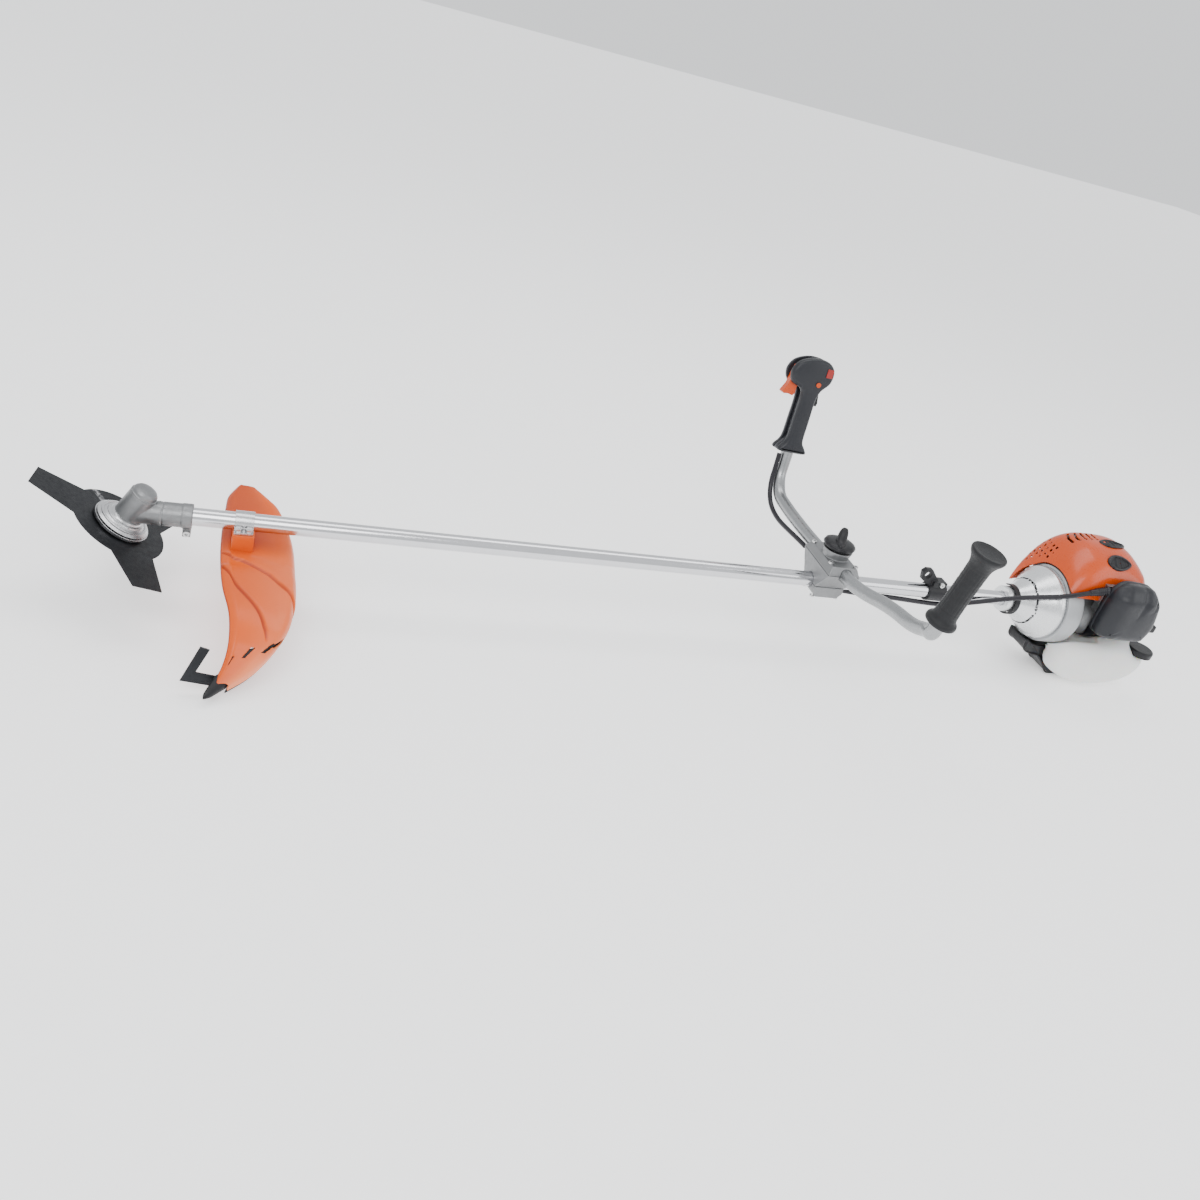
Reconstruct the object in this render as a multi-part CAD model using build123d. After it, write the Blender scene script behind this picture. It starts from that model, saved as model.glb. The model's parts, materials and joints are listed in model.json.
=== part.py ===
from build123d import *
from math import atan2, cos, hypot, pi, radians, sin, sqrt, tan
import os

# A petrol brush cutter with bicycle handlebar, resting level on its guard and its tank foot.
# Design frame, in millimetres: +X along the shaft from cutter head to engine, +Z up, +Y to the
# operator's right. The shaft axis is Y = 0, Z = 0, and the blade spindle crosses it at X = 0.

# ---- driving dimensions ----
TUBE_OD = 26.0
TUBE_WALL = 1.5
TUBE_START, TUBE_END = 52.0, 1500.0
DRIVE_SHAFT_D = 8.0
BLADE_D = 255.0
BLADE_BORE = 25.4
BLADE_THICK = 1.4
BLADE_DROP = 28.0          # blade centre below the shaft axis, along the spindle
HEAD_TILT = 30.0           # spindle against the vertical
BAR_D = 23.0               # handlebar tube
BAR_WALL = 2.0
BAR_X, BAR_Z = 1101.0, 38.0
CABLE_D = 9.0
FLOOR_Z = -140.0           # resting plane under guard and foot
ORIGIN_X, ORIGIN_Y = 841.14, -11.71   # middle of the resting box, the part's own origin

GEAR_MODULE = 1.35
PINION_TEETH, CROWN_TEETH = 14, 19
GEAR_ANGLE = 60.0          # between drive shaft and spindle
GEAR_FACE = 6.0
GEAR_BACKLASH = 0.6

FIT = 0.05                 # radial clearance of running and sliding fits

# ---- derived values ----
TUBE_R = TUBE_OD / 2
BAR_R = BAR_D / 2
SHAFT_R = DRIVE_SHAFT_D / 2
CABLE_R = CABLE_D / 2
TILT = radians(HEAD_TILT)
BASE = (Align.CENTER, Align.CENTER, Align.MIN)

HEAD = Plane(origin=(0, 0, 0), x_dir=(cos(TILT), 0, -sin(TILT)), z_dir=(sin(TILT), 0, cos(TILT)))
ALONG = Plane(origin=(0, 0, 0), x_dir=(0, 1, 0), z_dir=(1, 0, 0))

PARTS = {}


# ---- small helpers ----
def turned(outline, frame=Plane.XY):
    """Solid of revolution about the frame's Z from (radius, height) points."""
    face = make_face(Plane.XZ * Polyline(*outline, close=True))
    return frame * revolve(face, Axis.Z)


def ring(outer, inner, start, end, frame=ALONG):
    """Plain sleeve between two heights of the frame's Z."""
    return turned([(inner, start), (outer, start), (outer, end), (inner, end)], frame)


def disc(radius, start, end, frame=ALONG):
    """Plain cylinder between two heights of the frame's Z."""
    return frame * Pos(0, 0, start) * Cylinder(radius, end - start, align=BASE)


def rod(start, end, radius):
    """Round bar between two points."""
    start, end = Vector(*start), Vector(*end)
    return Plane(origin=start, z_dir=end - start) * Cylinder(radius, (end - start).length, align=BASE)


def brick(x0, x1, y0, y1, z0, z1):
    """Box by its limits."""
    return Pos((x0 + x1) / 2, (y0 + y1) / 2, (z0 + z1) / 2) * Box(x1 - x0, y1 - y0, z1 - z0)


def side_prism(outline, y0, y1):
    """Outline of (X, Z) points drawn between two Y values."""
    frame = Plane(origin=(0, y1, 0), x_dir=(1, 0, 0), z_dir=(0, -1, 0))
    return extrude(frame * make_face(Polyline(*outline, close=True)), y1 - y0)


def soft_prism(outline, y0, y1, corner, edge):
    """side_prism with rounded corners and rounded side edges."""
    frame = Plane(origin=(0, y1, 0), x_dir=(1, 0, 0), z_dir=(0, -1, 0))
    face = make_face(Polyline(*outline, close=True))
    face = fillet(face.vertices(), corner)
    solid = extrude(frame * face, y1 - y0)
    rims = solid.edges().filter_by(lambda e: abs(e.bounding_box().size.Y) < 1e-6)
    return fillet(rims, edge)


def screw(tip, head, shank_r, head_r, head_h, hexagon=True):
    """Screw from its tip to the underside of its head, along one line."""
    tip, head = Vector(*tip), Vector(*head)
    way = (head - tip).normalized()
    frame = Plane(origin=head, z_dir=way)
    if hexagon:
        cap = frame * extrude(RegularPolygon(head_r, 6), head_h)
    else:
        cap = frame * Cylinder(head_r, head_h, align=BASE)
        cap -= frame * Pos(0, 0, head_h * 0.4) * extrude(RegularPolygon(head_r * 0.5, 6), head_h)
    return rod(tip, head, shank_r) + cap


def tangent_route(points):
    """Path of straight runs with the widest tangent arcs that the runs allow, and the arc radii."""
    spots = [Vector(*p) for p in points]
    radii = []
    for before, here, after in zip(spots, spots[1:], spots[2:]):
        turn = radians((here - before).get_angle(after - here))
        shorter = min((here - before).length, (after - here).length)
        radii.append(0.45 * shorter / tan(turn / 2))
    return FilletPolyline(*spots, radius=radii), radii


def tube_along(points, radius, name):
    """Round tube along a tangent route; prints its radii, its length and the volume check."""
    path, radii = tangent_route(points)
    section = Plane(origin=path @ 0, z_dir=path % 0) * Circle(radius)
    solid = sweep(section, path=path)
    expected = pi * radius ** 2 * path.length
    print(name, "length", round(path.length), "volume ratio", round(solid.volume / expected, 3))
    print("  radii", [round(r) for r in radii])
    return solid


# ---- cutter: everything that turns with the spindle ----
BLADE_TOP = -BLADE_DROP + BLADE_THICK / 2
BLADE_LOW = -BLADE_DROP - BLADE_THICK / 2
HUB_R = 67.5
ARM_ANGLE = 187.9          # first arm, about the spindle
ARM_BASE_HALF, ARM_TIP_HALF = 28.5, 10.1
PITCH_R = GEAR_MODULE * CROWN_TEETH / 2
PINION_R = GEAR_MODULE * PINION_TEETH / 2
CROWN_CONE = atan2(sin(radians(GEAR_ANGLE)), PINION_TEETH / CROWN_TEETH + cos(radians(GEAR_ANGLE)))
PINION_CONE = radians(GEAR_ANGLE) - CROWN_CONE
CONE_DISTANCE = PITCH_R / sin(CROWN_CONE)


def polar(radius, angle):
    return (radius * cos(radians(angle)), radius * sin(radians(angle)))


def blade():
    sketch = Circle(HUB_R)
    for i in range(3):
        middle = ARM_ANGLE + 120 * i - ARM_TIP_HALF
        arm = [polar(HUB_R * 0.8, middle - ARM_BASE_HALF), polar(HUB_R * 1.0, middle - ARM_BASE_HALF),
               polar(BLADE_D / 2 - 2, middle - ARM_TIP_HALF), polar(BLADE_D / 2, middle + ARM_TIP_HALF),
               polar(HUB_R * 1.0, middle + ARM_BASE_HALF), polar(HUB_R * 0.8, middle + ARM_BASE_HALF)]
        sketch += make_face(Polyline(*arm, close=True))
    sketch -= Circle(BLADE_BORE / 2 + FIT)
    return HEAD * Pos(0, 0, BLADE_LOW) * extrude(sketch, BLADE_THICK)


def thrust_plate():
    rim, web = 39.0, 3.0
    outline = [(5 + FIT, BLADE_LOW + 0.1), (BLADE_BORE / 2, BLADE_LOW + 0.1), (BLADE_BORE / 2, BLADE_TOP),
               (rim - 4, BLADE_TOP), (rim, BLADE_TOP + 2.5), (rim, BLADE_TOP + 6.5),
               (rim - 2.5, BLADE_TOP + 6.5), (rim - 3, BLADE_TOP + web), (9, BLADE_TOP + web),
               (8, -13.2), (5 + FIT, -13.2)]
    return turned(outline, HEAD)


def clamp_plate():
    return ring(25, 5 + FIT, BLADE_LOW - 4, BLADE_LOW, HEAD)


def blade_cup():
    low = BLADE_LOW - 4
    outline = [(5 + FIT, low), (30, low), (36, low - 4), (34, low - 8), (22, low - 10), (22, low - 8),
               (32, low - 6), (33, low - 4.5), (29, low - 2.5), (5 + FIT, low - 2.5)]
    return turned(outline, HEAD)


def blade_nut():
    low = BLADE_LOW - 6.5
    nut = HEAD * Pos(0, 0, low - 8) * extrude(RegularPolygon(9.8, 6), 8)
    nut += disc(11.5, low - 2, low, HEAD)
    return nut - disc(5 + FIT, low - 9, low + 1, HEAD)


def spindle():
    outline = [(0, -46), (4.4, -46), (5, -45), (5, 19), (5, CROWN_BACK), (4, CROWN_BACK), (4, 34.5),
               (0, 34.5)]
    return turned(outline, HEAD)


# ---- bevel gears ----
def bevel_gear(teeth, cone, frame, first_angle, bore, back):
    """Straight-toothed bevel gear; its apex is the frame's origin and it grows along +Z."""
    outer, inner = CONE_DISTANCE, CONE_DISTANCE - GEAR_FACE
    root = 1.2 * GEAR_MODULE
    crest = 0.7 * GEAR_MODULE
    half = (pi * GEAR_MODULE / 2 - GEAR_BACKLASH) / 2

    def on_cone(distance, lift):
        return (distance * sin(cone) + lift * cos(cone), distance * cos(cone) - lift * sin(cone))

    low_out, low_in = on_cone(outer, -root), on_cone(inner, -root * inner / outer)
    body = turned([(bore, low_in[1]), low_in, low_out, (low_out[0], back), (bore, back)], frame)

    def tooth_face(distance):
        scale = distance / outer
        corners = []
        for lift, side in ((-root - 0.2, -1), (crest, -1), (crest, 1), (-root - 0.2, 1)):
            radius, height = on_cone(distance, lift * scale)
            width = (half - lift * tan(radians(20))) * scale * side
            corners.append(Vector(radius, width, height))
        return make_face(Polyline(*corners, close=True))

    tooth = loft([tooth_face(inner), tooth_face(outer)])
    for i in range(teeth):
        body += frame * Rot(0, 0, first_angle + 360 * i / teeth) * tooth
    return body


CROWN_BACK = 27.0
PINION_BACK = 30.0
# crown: the frame's X leans to the shaft side, so a gap faces the shaft; pinion: a tooth faces up
PINION_FRAME = Plane(origin=(0, 0, 0), x_dir=(0, 0, 1), z_dir=(1, 0, 0))


def crown_gear():
    return bevel_gear(CROWN_TEETH, CROWN_CONE, HEAD, 180 / CROWN_TEETH, 5 + 0.02, CROWN_BACK)


def pinion_gear():
    return bevel_gear(PINION_TEETH, PINION_CONE, PINION_FRAME, 0.0, SHAFT_R + 0.02, PINION_BACK)


# ---- gear head, fixed to the shaft tube ----
BARREL_R, CAVITY_R = 19.0, 15.5
ARM_R = 17.0
CLAMP_X = 73.5


def gear_housing():
    body = turned([(0, -14), (BARREL_R, -14), (BARREL_R, 29.5), (0, 29.5)], HEAD)
    body += turned([(0, 4), (ARM_R, 4), (ARM_R, 39), (ARM_R - 0.8, 39), (ARM_R - 0.8, 41), (ARM_R, 41),
                    (ARM_R, 66), (ARM_R + 0.8, 66.5), (ARM_R + 0.8, 80), (0, 80)], ALONG)
    body += brick(68, 79, -7, 7, -31, -10)
    body -= turned([(0, -15), (11, -15), (11, -13.2), (13 + FIT, -13.2), (13 + FIT, -5), (CAVITY_R, -5),
                    (CAVITY_R, 30), (0, 30)], HEAD)
    body -= turned([(0, 0), (11.6, 0), (11.6, PINION_BACK + 0.4), (11 + FIT, PINION_BACK + 0.4),
                    (11 + FIT, 46), (TUBE_R - 1, 46), (TUBE_R - 1, 51.5), (TUBE_R + FIT, 51.5),
                    (TUBE_R + FIT, 89), (0, 89)], ALONG)
    body -= brick(66.5, 89, -1, 1, -32, -10)
    body -= rod((CLAMP_X, -8, -24), (CLAMP_X, 8, -24), 2.5 + FIT)
    return body - disc(BARREL_R + 0.2, 29.5, 45, HEAD)


def gear_housing_cap():
    cap = turned([(0, 29.5), (BARREL_R, 29.5), (BARREL_R, 31.5), (17.6, 32.2), (17, 36), (14, 39.5),
                  (8, 41), (0, 41.3)], HEAD)
    cap += ring(CAVITY_R - FIT, 12, 27.6, 29.5, HEAD)
    return cap - disc(11 + FIT, 27, 35.2, HEAD)


def gear_bearings():
    lower = ring(13, 5 + FIT, -13.1, -5.2, HEAD)
    upper = ring(11, 4 + FIT, 27.9, 34.9, HEAD)
    shaft = ring(11, SHAFT_R + FIT, 30.9, 37.9)
    return Compound([lower, upper, shaft])


def wrap_shield():
    """Fixed ribbed shield between the housing and the turning thrust plate."""
    outline = [(11, -15.2), (22, -15.2), (36.8, -19.5), (37.5, -18.4), (33.5, -16.2), (33.5, -14.6),
               (30.5, -13.6), (29.5, -14.8), (26.5, -13.2), (26, -11.4), (23, -10.4), (21.8, -8),
               (BARREL_R + FIT, -7), (BARREL_R + FIT, -14.05), (11, -14.05)]
    return turned(outline, HEAD) - disc(ARM_R + 0.1, 0, 60)


# ---- shaft ----
def shaft_tube():
    return ring(TUBE_R, TUBE_R - TUBE_WALL, TUBE_START, TUBE_END)


def drive_shaft():
    return disc(SHAFT_R, 16.5, 1546)


def drive_shaft_bushes():
    inner = TUBE_R - TUBE_WALL
    return Compound([ring(inner - FIT, SHAFT_R + FIT, x, x + 22) for x in range(120, 1480, 265)])


# ---- guard: sections across it, from the far edge to the near tip ----
# (sideways position, front edge, rear edge, front height, rear height), all in the head's frame
GUARD_THICK = 2.5
GUARD_SKIRT = 16.0
LIP_DEPTH = 14.0
GUARD_SECTIONS = [
    (132, 127, 142, 55, 60),
    (108, 120, 164, 46, 69),
    (80, 120, 190, 42, 76),
    (20, 122, 211, 36, 76),
    (-40, 127, 220, 32, 72),
    (-100, 135, 225, 31, 66),
    (-150, 151, 226, 28, 54),
    (-185, 164, 218, 12, 33),
    (-207, 169, 206, -13, 2),
    (-226, 162, 181, -46, -39),
]


def head_point(a, b, h):
    return HEAD.from_local_coords(Vector(a, b, h))


def guard_outline(section, thick):
    """Closed outline of one guard section: lip, two creases, shoulder and rear skirt."""
    b, front, rear, low, high = section
    wide = rear - front
    rise = high - low
    skirt = min(GUARD_SKIRT, wide * 0.4)
    top = [(front, low - 5), (front + 1, low), (front + 0.32 * wide, low + 0.32 * rise + 3),
           (front + 0.66 * wide, low + 0.66 * rise + 4), (rear - 0.12 * wide, high + 1),
           (rear - 1, high - 0.45 * skirt), (rear + 1, high - skirt)]
    under = [(front + 0.8 * GUARD_THICK, low - 5), (front + 0.8 * GUARD_THICK + 0.6, low - thick)]
    under += [(a, h - thick) for a, h in top[2:4]]
    under += [(top[4][0] - 1, top[4][1] - thick), (top[5][0] - GUARD_THICK, top[5][1] - 0.5 * thick),
              (top[6][0] - GUARD_THICK, top[6][1])]
    if b == GUARD_SECTIONS[-1][0]:
        under = [(a, max(h, top[0][1])) for a, h in under]
    return [head_point(a, b, h) for a, h in top + under[::-1]]


def guard():
    faces = []
    for i, section in enumerate(GUARD_SECTIONS):
        before = GUARD_SECTIONS[max(i - 1, 0)]
        after = GUARD_SECTIONS[min(i + 1, len(GUARD_SECTIONS) - 1)]
        slope = (before[3] - after[3]) / (before[0] - after[0])
        thick = min(GUARD_THICK * sqrt(1 + slope ** 2), 3 * GUARD_THICK)
        faces.append(make_face(Polyline(*guard_outline(section, thick), close=True)))
    shell = loft(faces, ruled=True)
    boss = side_prism([(134, -6), (164, -6), (164, -40), (134, -40)], -28, 28)
    shell += boss - disc(TUBE_R + FIT, 120, 180)
    for x, y in GUARD_BOLTS:
        shell -= disc(3 + FIT, -22, -5, Plane(origin=(x, y, 0)))
    shell -= line_knife(0.1) + rod((KNIFE_SCREWS[0][0], KNIFE_Y - 6, KNIFE_SCREWS[0][1]),
                                   (KNIFE_SCREWS[0][0], KNIFE_Y + 6, KNIFE_SCREWS[0][1]), 5)
    for a, b, h in GUARD_SLOTS:
        shell -= HEAD * Pos(a, b, h) * Rot(-25, 0, 0) * Box(6, 30, 5)
    return shell


GUARD_SLOTS = [(217, -188, 24), (210, -198, 10), (202, -205, -5), (193, -209, -13), (184, -212, -20)]
GUARD_BOLTS = [(142, 21), (156, 21), (142, -21), (156, -21)]


def guard_edge_lip():
    """Black strip that carries on below the rear skirt."""
    faces = []
    for b, front, rear, low, high in GUARD_SECTIONS[2:]:
        skirt = min(GUARD_SKIRT, (rear - front) * 0.4)
        edge, bottom = rear + 1, high - skirt - 0.1
        tip = bottom - (LIP_DEPTH if b > -200 else 0.5 * LIP_DEPTH)
        corners = [(edge - GUARD_THICK, bottom), (edge, bottom), (edge + 2, tip), (edge - 1, tip)]
        faces.append(make_face(Polyline(*[head_point(a, b, h) for a, h in corners], close=True)))
    return loft(faces, ruled=True)


def guard_clamp():
    strap = ring(TUBE_R + 2.6, TUBE_R + FIT, 136, 162) - brick(130, 170, -30, 30, -30, -6)
    for side in (-1, 1):
        near, far = sorted((side * 13.2, side * 28))
        strap += brick(136, 162, near, far, -6, -3) - disc(TUBE_R + FIT, 130, 170)
    for x, y in GUARD_BOLTS:
        strap -= disc(3 + FIT, -8, 0, Plane(origin=(x, y, 0)))
    return strap


def guard_bolts():
    bolts = [screw((x, y, -20), (x, y, -3), 3, 5.6, 4) for x, y in GUARD_BOLTS]
    for x, z in KNIFE_SCREWS:
        bolts.append(screw((x, KNIFE_Y, z), (x, KNIFE_Y + 2, z), 2, 4, 2.6, hexagon=False))
    return Compound(bolts)


KNIFE_Y = -213.0


def line_knife(clearance=0):
    outline = [(90, -121), (111, -65), (123, -69), (108.5, -106), (143, -112.5), (139, -128.5)]
    plate = side_prism(outline, KNIFE_Y - clearance, KNIFE_Y + 2 + clearance)
    for x, z in KNIFE_SCREWS:
        if clearance == 0:
            plate -= rod((x, KNIFE_Y - 1, z), (x, KNIFE_Y + 3, z), 2 + FIT)
    return plate


KNIFE_SCREWS = [(134, -118)]


# ---- handlebar bracket ----
KNOB_X = 1102.0
BRACKET_SCREWS = [(1078, 17), (1078, -17), (1124, 17), (1124, -17)]
CAP_SCREWS = [(1079, 38), (1123, 30), (1079, -30), (1123, -38)]
CABLE_LOWER = [(1082, 53, 27), (1090, 38, 14), (1100, 25, 0), (1113, 14, -13), (1134, 5, -19),
               (1166, 0, -19), (1206, -2, -19.5), (1252, -3, -20), (1302, -4, -22.5), (1350, -8, -22),
               (1394, -16, -9), (1434, -25, 7), (1474, -33, 22), (1514, -45.5, 36.5), (1554, -61, 52),
               (1590, -63.5, 64), (1622, -65, 73)]
CABLE_UPPER = [(1081, 62, 28.5), (1076, 88, 29), (1072, 122, 27), (1069, 158, 25.5), (1067.5, 190, 31),
               (1067, 212, 44), (1068, 228, 67), (1071, 236, 95), (1073, 243, 120)]
BORE_START, BORE_END = (BAR_X - 7, 80, BAR_Z), (BAR_X + 7, -80, BAR_Z)


def bar_bore():
    return rod(BORE_START, BORE_END, BAR_R + FIT)


def bracket_base():
    """Lower clamp half under the tube."""
    half = soft_prism([(1072, -12), (1080, -21), (1122, -21), (1130, -12), (1130, -0.3), (1072, -0.3)],
                      -24, 24, 2, 1.5)
    half -= disc(TUBE_R + FIT, 1060, 1150)
    return half - cable_channel() - screw_holes(BRACKET_SCREWS, -30, 20)


def bracket_body():
    """Saddle between tube and handlebar."""
    body = loft([Pos(1101, 0, 0.3) * Rectangle(58, 48), Pos(1101, 0, BAR_Z - 0.3) * Rectangle(60, 100)])
    body -= disc(TUBE_R + FIT, 1060, 1150)
    body -= bar_bore()
    body -= screw_holes(CAP_SCREWS, 20, 60)
    return body - cable_channel() - screw_holes(BRACKET_SCREWS, -30, 14)


def bracket_cap():
    """Funnel-shaped top that presses the handlebar down."""
    cap = loft([Pos(1101, 0, BAR_Z + 0.3) * Rectangle(60, 100), Pos(1101, 0, BAR_Z + 14) * Rectangle(48, 84)])
    cap += loft([Pos(1101, 0, BAR_Z + 6) * Circle(21), Pos(KNOB_X, 0, 66) * Circle(26)])
    cap -= bar_bore()
    cap -= screw_holes(CAP_SCREWS, 20, 60)
    return cap - disc(4 + FIT, 49.5, 70, Plane(origin=(KNOB_X, 0, 0)))


def cable_channel():
    path, _ = tangent_route(CABLE_LOWER[:6])
    section = Plane(origin=path @ 0, z_dir=path % 0) * Circle(CABLE_R + 1)
    start = Vector(*CABLE_LOWER[0])
    back = start + Vector(-8, 15, 13)
    return sweep(section, path=path) + rod(tuple(start), tuple(back), CABLE_R + 1)


def screw_holes(spots, low, high):
    holes = [disc(2.5 + FIT, low, high, Plane(origin=(x, y, 0))) for x, y in spots]
    return holes[0] + holes[1] + holes[2] + holes[3]


def clamp_screws():
    """Socket screws of the bracket, the gear arm clamp and the harness clamp."""
    screws = [screw((x, y, 12), (x, y, -21), 2.5, 4.2, 3, hexagon=False) for x, y in BRACKET_SCREWS]
    screws += [screw((x, y, 24), (x, y, BAR_Z + 14), 2.5, 4.2, 3, hexagon=False) for x, y in CAP_SCREWS]
    screws.append(screw((CLAMP_X, 7, -24), (CLAMP_X, -7, -24), 2.5, 4.5, 4, hexagon=False))
    screws.append(screw((1330, 11, 20.5), (1330, -11, 20.5), 2.5, 4.4, 3.5, hexagon=False))
    return Compound(screws)


def clamp_knob():
    """Wing knob with a disc base, one tall rib and a moulded-in stud."""
    frame = Plane(origin=(KNOB_X, 0, 0))
    base = turned([(0, 66.6), (20, 66.6), (27, 69), (28, 73), (26, 78), (18, 82), (0, 83)], frame)
    rib = loft([Pos(0, 0, 80) * Rectangle(13, 50), Pos(0, 0, 105) * Rectangle(9, 26)])
    rib = fillet(rib.edges().filter_by(lambda e: e.center().Z > 104), 3)
    return base + frame * Rot(0, 0, KNOB_TURN) * rib + disc(4, 50.2, 70, frame)


KNOB_TURN = 62.0


# ---- handlebar and grips ----
GRIP_LOW, GRIP_HIGH = Vector(1119, -277, 110), Vector(1130, -292, 240)
HANDLE_LOW, HANDLE_TOP = Vector(1091, 249, 124), Vector(1096, 268, 240)
LEFT_ARM = [(BAR_X + 7.35, -84, BAR_Z), (1129, -150, 52), (1131, -216, 62), (1127, -256, 82)]
RIGHT_ARM = [(BAR_X - 7.35, 84, BAR_Z), (1086, 152, 44), (1083, 208, 50), (1086, 237, 76)]


def bar_points(arm, low, high):
    """Half of the handlebar, from the bracket to one end."""
    way = (high - low).normalized()
    points = [Vector(BAR_X, 0, BAR_Z)] + [Vector(*p) for p in arm]
    return points + [low - way * 22, high - way * 4]


def handlebar():
    halves = []
    for arm, low, high in ((LEFT_ARM, GRIP_LOW, GRIP_HIGH), (RIGHT_ARM, HANDLE_LOW, HANDLE_TOP)):
        path, _ = tangent_route(bar_points(arm, low, high))
        section = Plane(origin=path @ 0, z_dir=path % 0)
        tube = sweep(section * Circle(BAR_R), path=path)
        halves.append(tube - sweep(section * Circle(BAR_R - BAR_WALL), path=path))
    return halves[0] + halves[1]


def left_grip():
    frame = Plane(origin=GRIP_LOW, z_dir=GRIP_HIGH - GRIP_LOW)
    long = (GRIP_HIGH - GRIP_LOW).length
    outline = [(BAR_R + FIT, 0), (20, 0), (24.5, 3), (24, 9), (18.5, 15), (17.5, 22), (17, 60),
               (17.5, long - 24), (20, long - 12), (26, long - 4), (27, long + 4), (24.5, long + 4),
               (18, long - 1), (0, long - 1), (0, long - 3), (BAR_R + FIT, long - 3)]
    return turned(outline, frame)


# ---- throttle handle: its frame has X forward to the cutter, Y to the operator's left, Z up it ----
HANDLE = Plane(origin=HANDLE_LOW, x_dir=(-1, 0, 0), z_dir=HANDLE_TOP - HANDLE_LOW)
HANDLE_OUTLINE = [(-27, 0), (26, 0), (27, 11), (17, 22), (16, 104), (22, 122), (44, 130), (49, 150),
                  (40, 168), (10, 180), (-22, 176), (-36, 160), (-34, 138), (-19, 122), (-16, 104),
                  (-16, 22), (-27, 12)]
TRIGGER_PIVOT = (32, 154)
LOCK_PIVOT = (-13, 126)
SWITCH_AT, BUTTON_AT = (-24, 158), (-8, 134)
HANDLE_SCREWS = [(-20, 7), (6, 160)]


def handle_slab(outline, v0, v1):
    """Outline in the handle's side view, between two sideways positions."""
    flat = Plane(origin=(0, v1, 0), x_dir=(1, 0, 0), z_dir=(0, -1, 0))
    return HANDLE * extrude(flat * make_face(Polyline(*outline, close=True)), v1 - v0)


def handle_rod(spot, v0, v1, radius):
    """Round bar across the handle at a spot of its side view."""
    u, w = spot
    flat = Plane(origin=(u, v1, w), x_dir=(1, 0, 0), z_dir=(0, -1, 0))
    return HANDLE * flat * Cylinder(radius, v1 - v0, align=BASE)


def handle_shell(side):
    """One half of the handle, hollow for the bar end, the trigger and the levers."""
    half_width = 18.5
    near, far = sorted((side * 0.1, side * half_width))
    flat = Plane(origin=(0, far, 0), x_dir=(1, 0, 0), z_dir=(0, -1, 0))
    face = make_face(Polyline(*HANDLE_OUTLINE, close=True))
    face = fillet(face.vertices(), 4)
    solid = extrude(flat * face, far - near)
    outside = side * half_width
    rim = solid.edges().filter_by(lambda e: abs(e.center().Y - outside) < 1e-3)
    shell = HANDLE * fillet(rim, 3.5)
    shell -= HANDLE * Pos(0, 0, -1) * Cylinder(BAR_R + FIT, 116, align=BASE)
    shell -= handle_slab([(13, 120), (13, 96), (60, 96), (60, 140), (44, 168), (20, 168)], -8, 8)
    slot = [(-32, 88), (-12.5, 88), (-12.5, 112), (-5, 120), (-5, 135), (-24, 135), (-32, 116)]
    shell -= handle_slab(slot, -6, 6)
    shell -= handle_rod(TRIGGER_PIVOT, -13, 13, 2.5 + FIT)
    shell -= handle_rod(LOCK_PIVOT, -11, 11, 2 + FIT)
    for spot in HANDLE_SCREWS:
        shell -= handle_rod(spot, -14, 30, 1.8 + FIT)
        shell -= handle_rod(spot, 14, 30, 4)
    if side > 0:
        shell -= handle_rod(BUTTON_AT, 10, 30, 4.5 + FIT)
        u, w = SWITCH_AT
        shell -= HANDLE * Pos(u, 18, w) * Box(13.2, 14, 17.2)
    return shell


def throttle_trigger():
    curve = [(26, 160), (38, 160), (42, 144), (45, 124), (53, 108), (49, 105), (40, 106), (31, 104),
             (27, 108), (27, 122), (26, 140)]
    return handle_slab(curve, -7, 7) + handle_rod(TRIGGER_PIVOT, -12.8, 12.8, 2.5)


def throttle_lock_lever():
    lever = handle_slab([(-17, 131), (-9, 131), (-9, 121), (-17.5, 108), (-19, 95), (-24, 92), (-26, 98),
                         (-23, 114)], -5, 5)
    return lever + handle_rod(LOCK_PIVOT, -10.8, 10.8, 2)


def half_throttle_button():
    return handle_rod(BUTTON_AT, 12.5, 20.5, 4.5)


def stop_switch():
    u, w = SWITCH_AT
    rocker = HANDLE * Pos(u, 16.2, w) * Box(12.4, 7, 16)
    return fillet(rocker.edges().group_by(Axis.Y)[0], 1)


def handle_screws():
    pieces = []
    for u, w in HANDLE_SCREWS:
        pieces.append(handle_rod((u, w), -13, 14, 1.8) + handle_rod((u, w), 14, 16, 3.6))
    return Compound(pieces)


# ---- harness clamp and cable clips ----
def harness_clamp():
    band = ring(TUBE_R + 4, TUBE_R + FIT, 1310, 1346)
    band += side_prism([(1286, 40), (1292, 46), (1304, 46), (1312, 38), (1334, 16), (1334, 12),
                        (1312, 12), (1290, 24)], -5, 5) - disc(TUBE_R + FIT, 1280, 1350)
    band += brick(1314, 1342, -11, 11, 14, 24) - disc(TUBE_R + FIT, 1280, 1350)
    band -= rod((1299, -10, 34), (1299, 10, 34), 6.5)
    return band - rod((1330, -12, 20.5), (1330, 12, 20.5), 2.5 + FIT)


def cable_clip():
    """Open clip round the engine neck that holds the cable."""
    clip = ring(28.5, 25.6, 1490, 1500) - brick(1480, 1510, 0, 40, -22, 22)
    return clip


# ---- engine ----
NECK_R, BELL_R = 23.5, 68.0


def clutch_housing():
    body = turned([(TUBE_R + FIT, 1478), (NECK_R, 1478), (NECK_R + 1, 1502), (31, 1512), (46, 1530),
                   (62, 1551), (BELL_R, 1557), (BELL_R, 1568), (BELL_R - 7, 1568), (BELL_R - 7, 1561),
                   (57, 1552), (44, 1538), (42.5, 1525), (16, 1523), (16, 1501), (TUBE_R + FIT, 1501)], ALONG)
    return body


def clutch_drum():
    return turned([(SHAFT_R + 0.02, 1527), (39, 1527), (39, 1549), (36.5, 1549), (36.5, 1530),
                   (9, 1530), (9, 1545), (SHAFT_R + 0.02, 1545)], ALONG)


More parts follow.
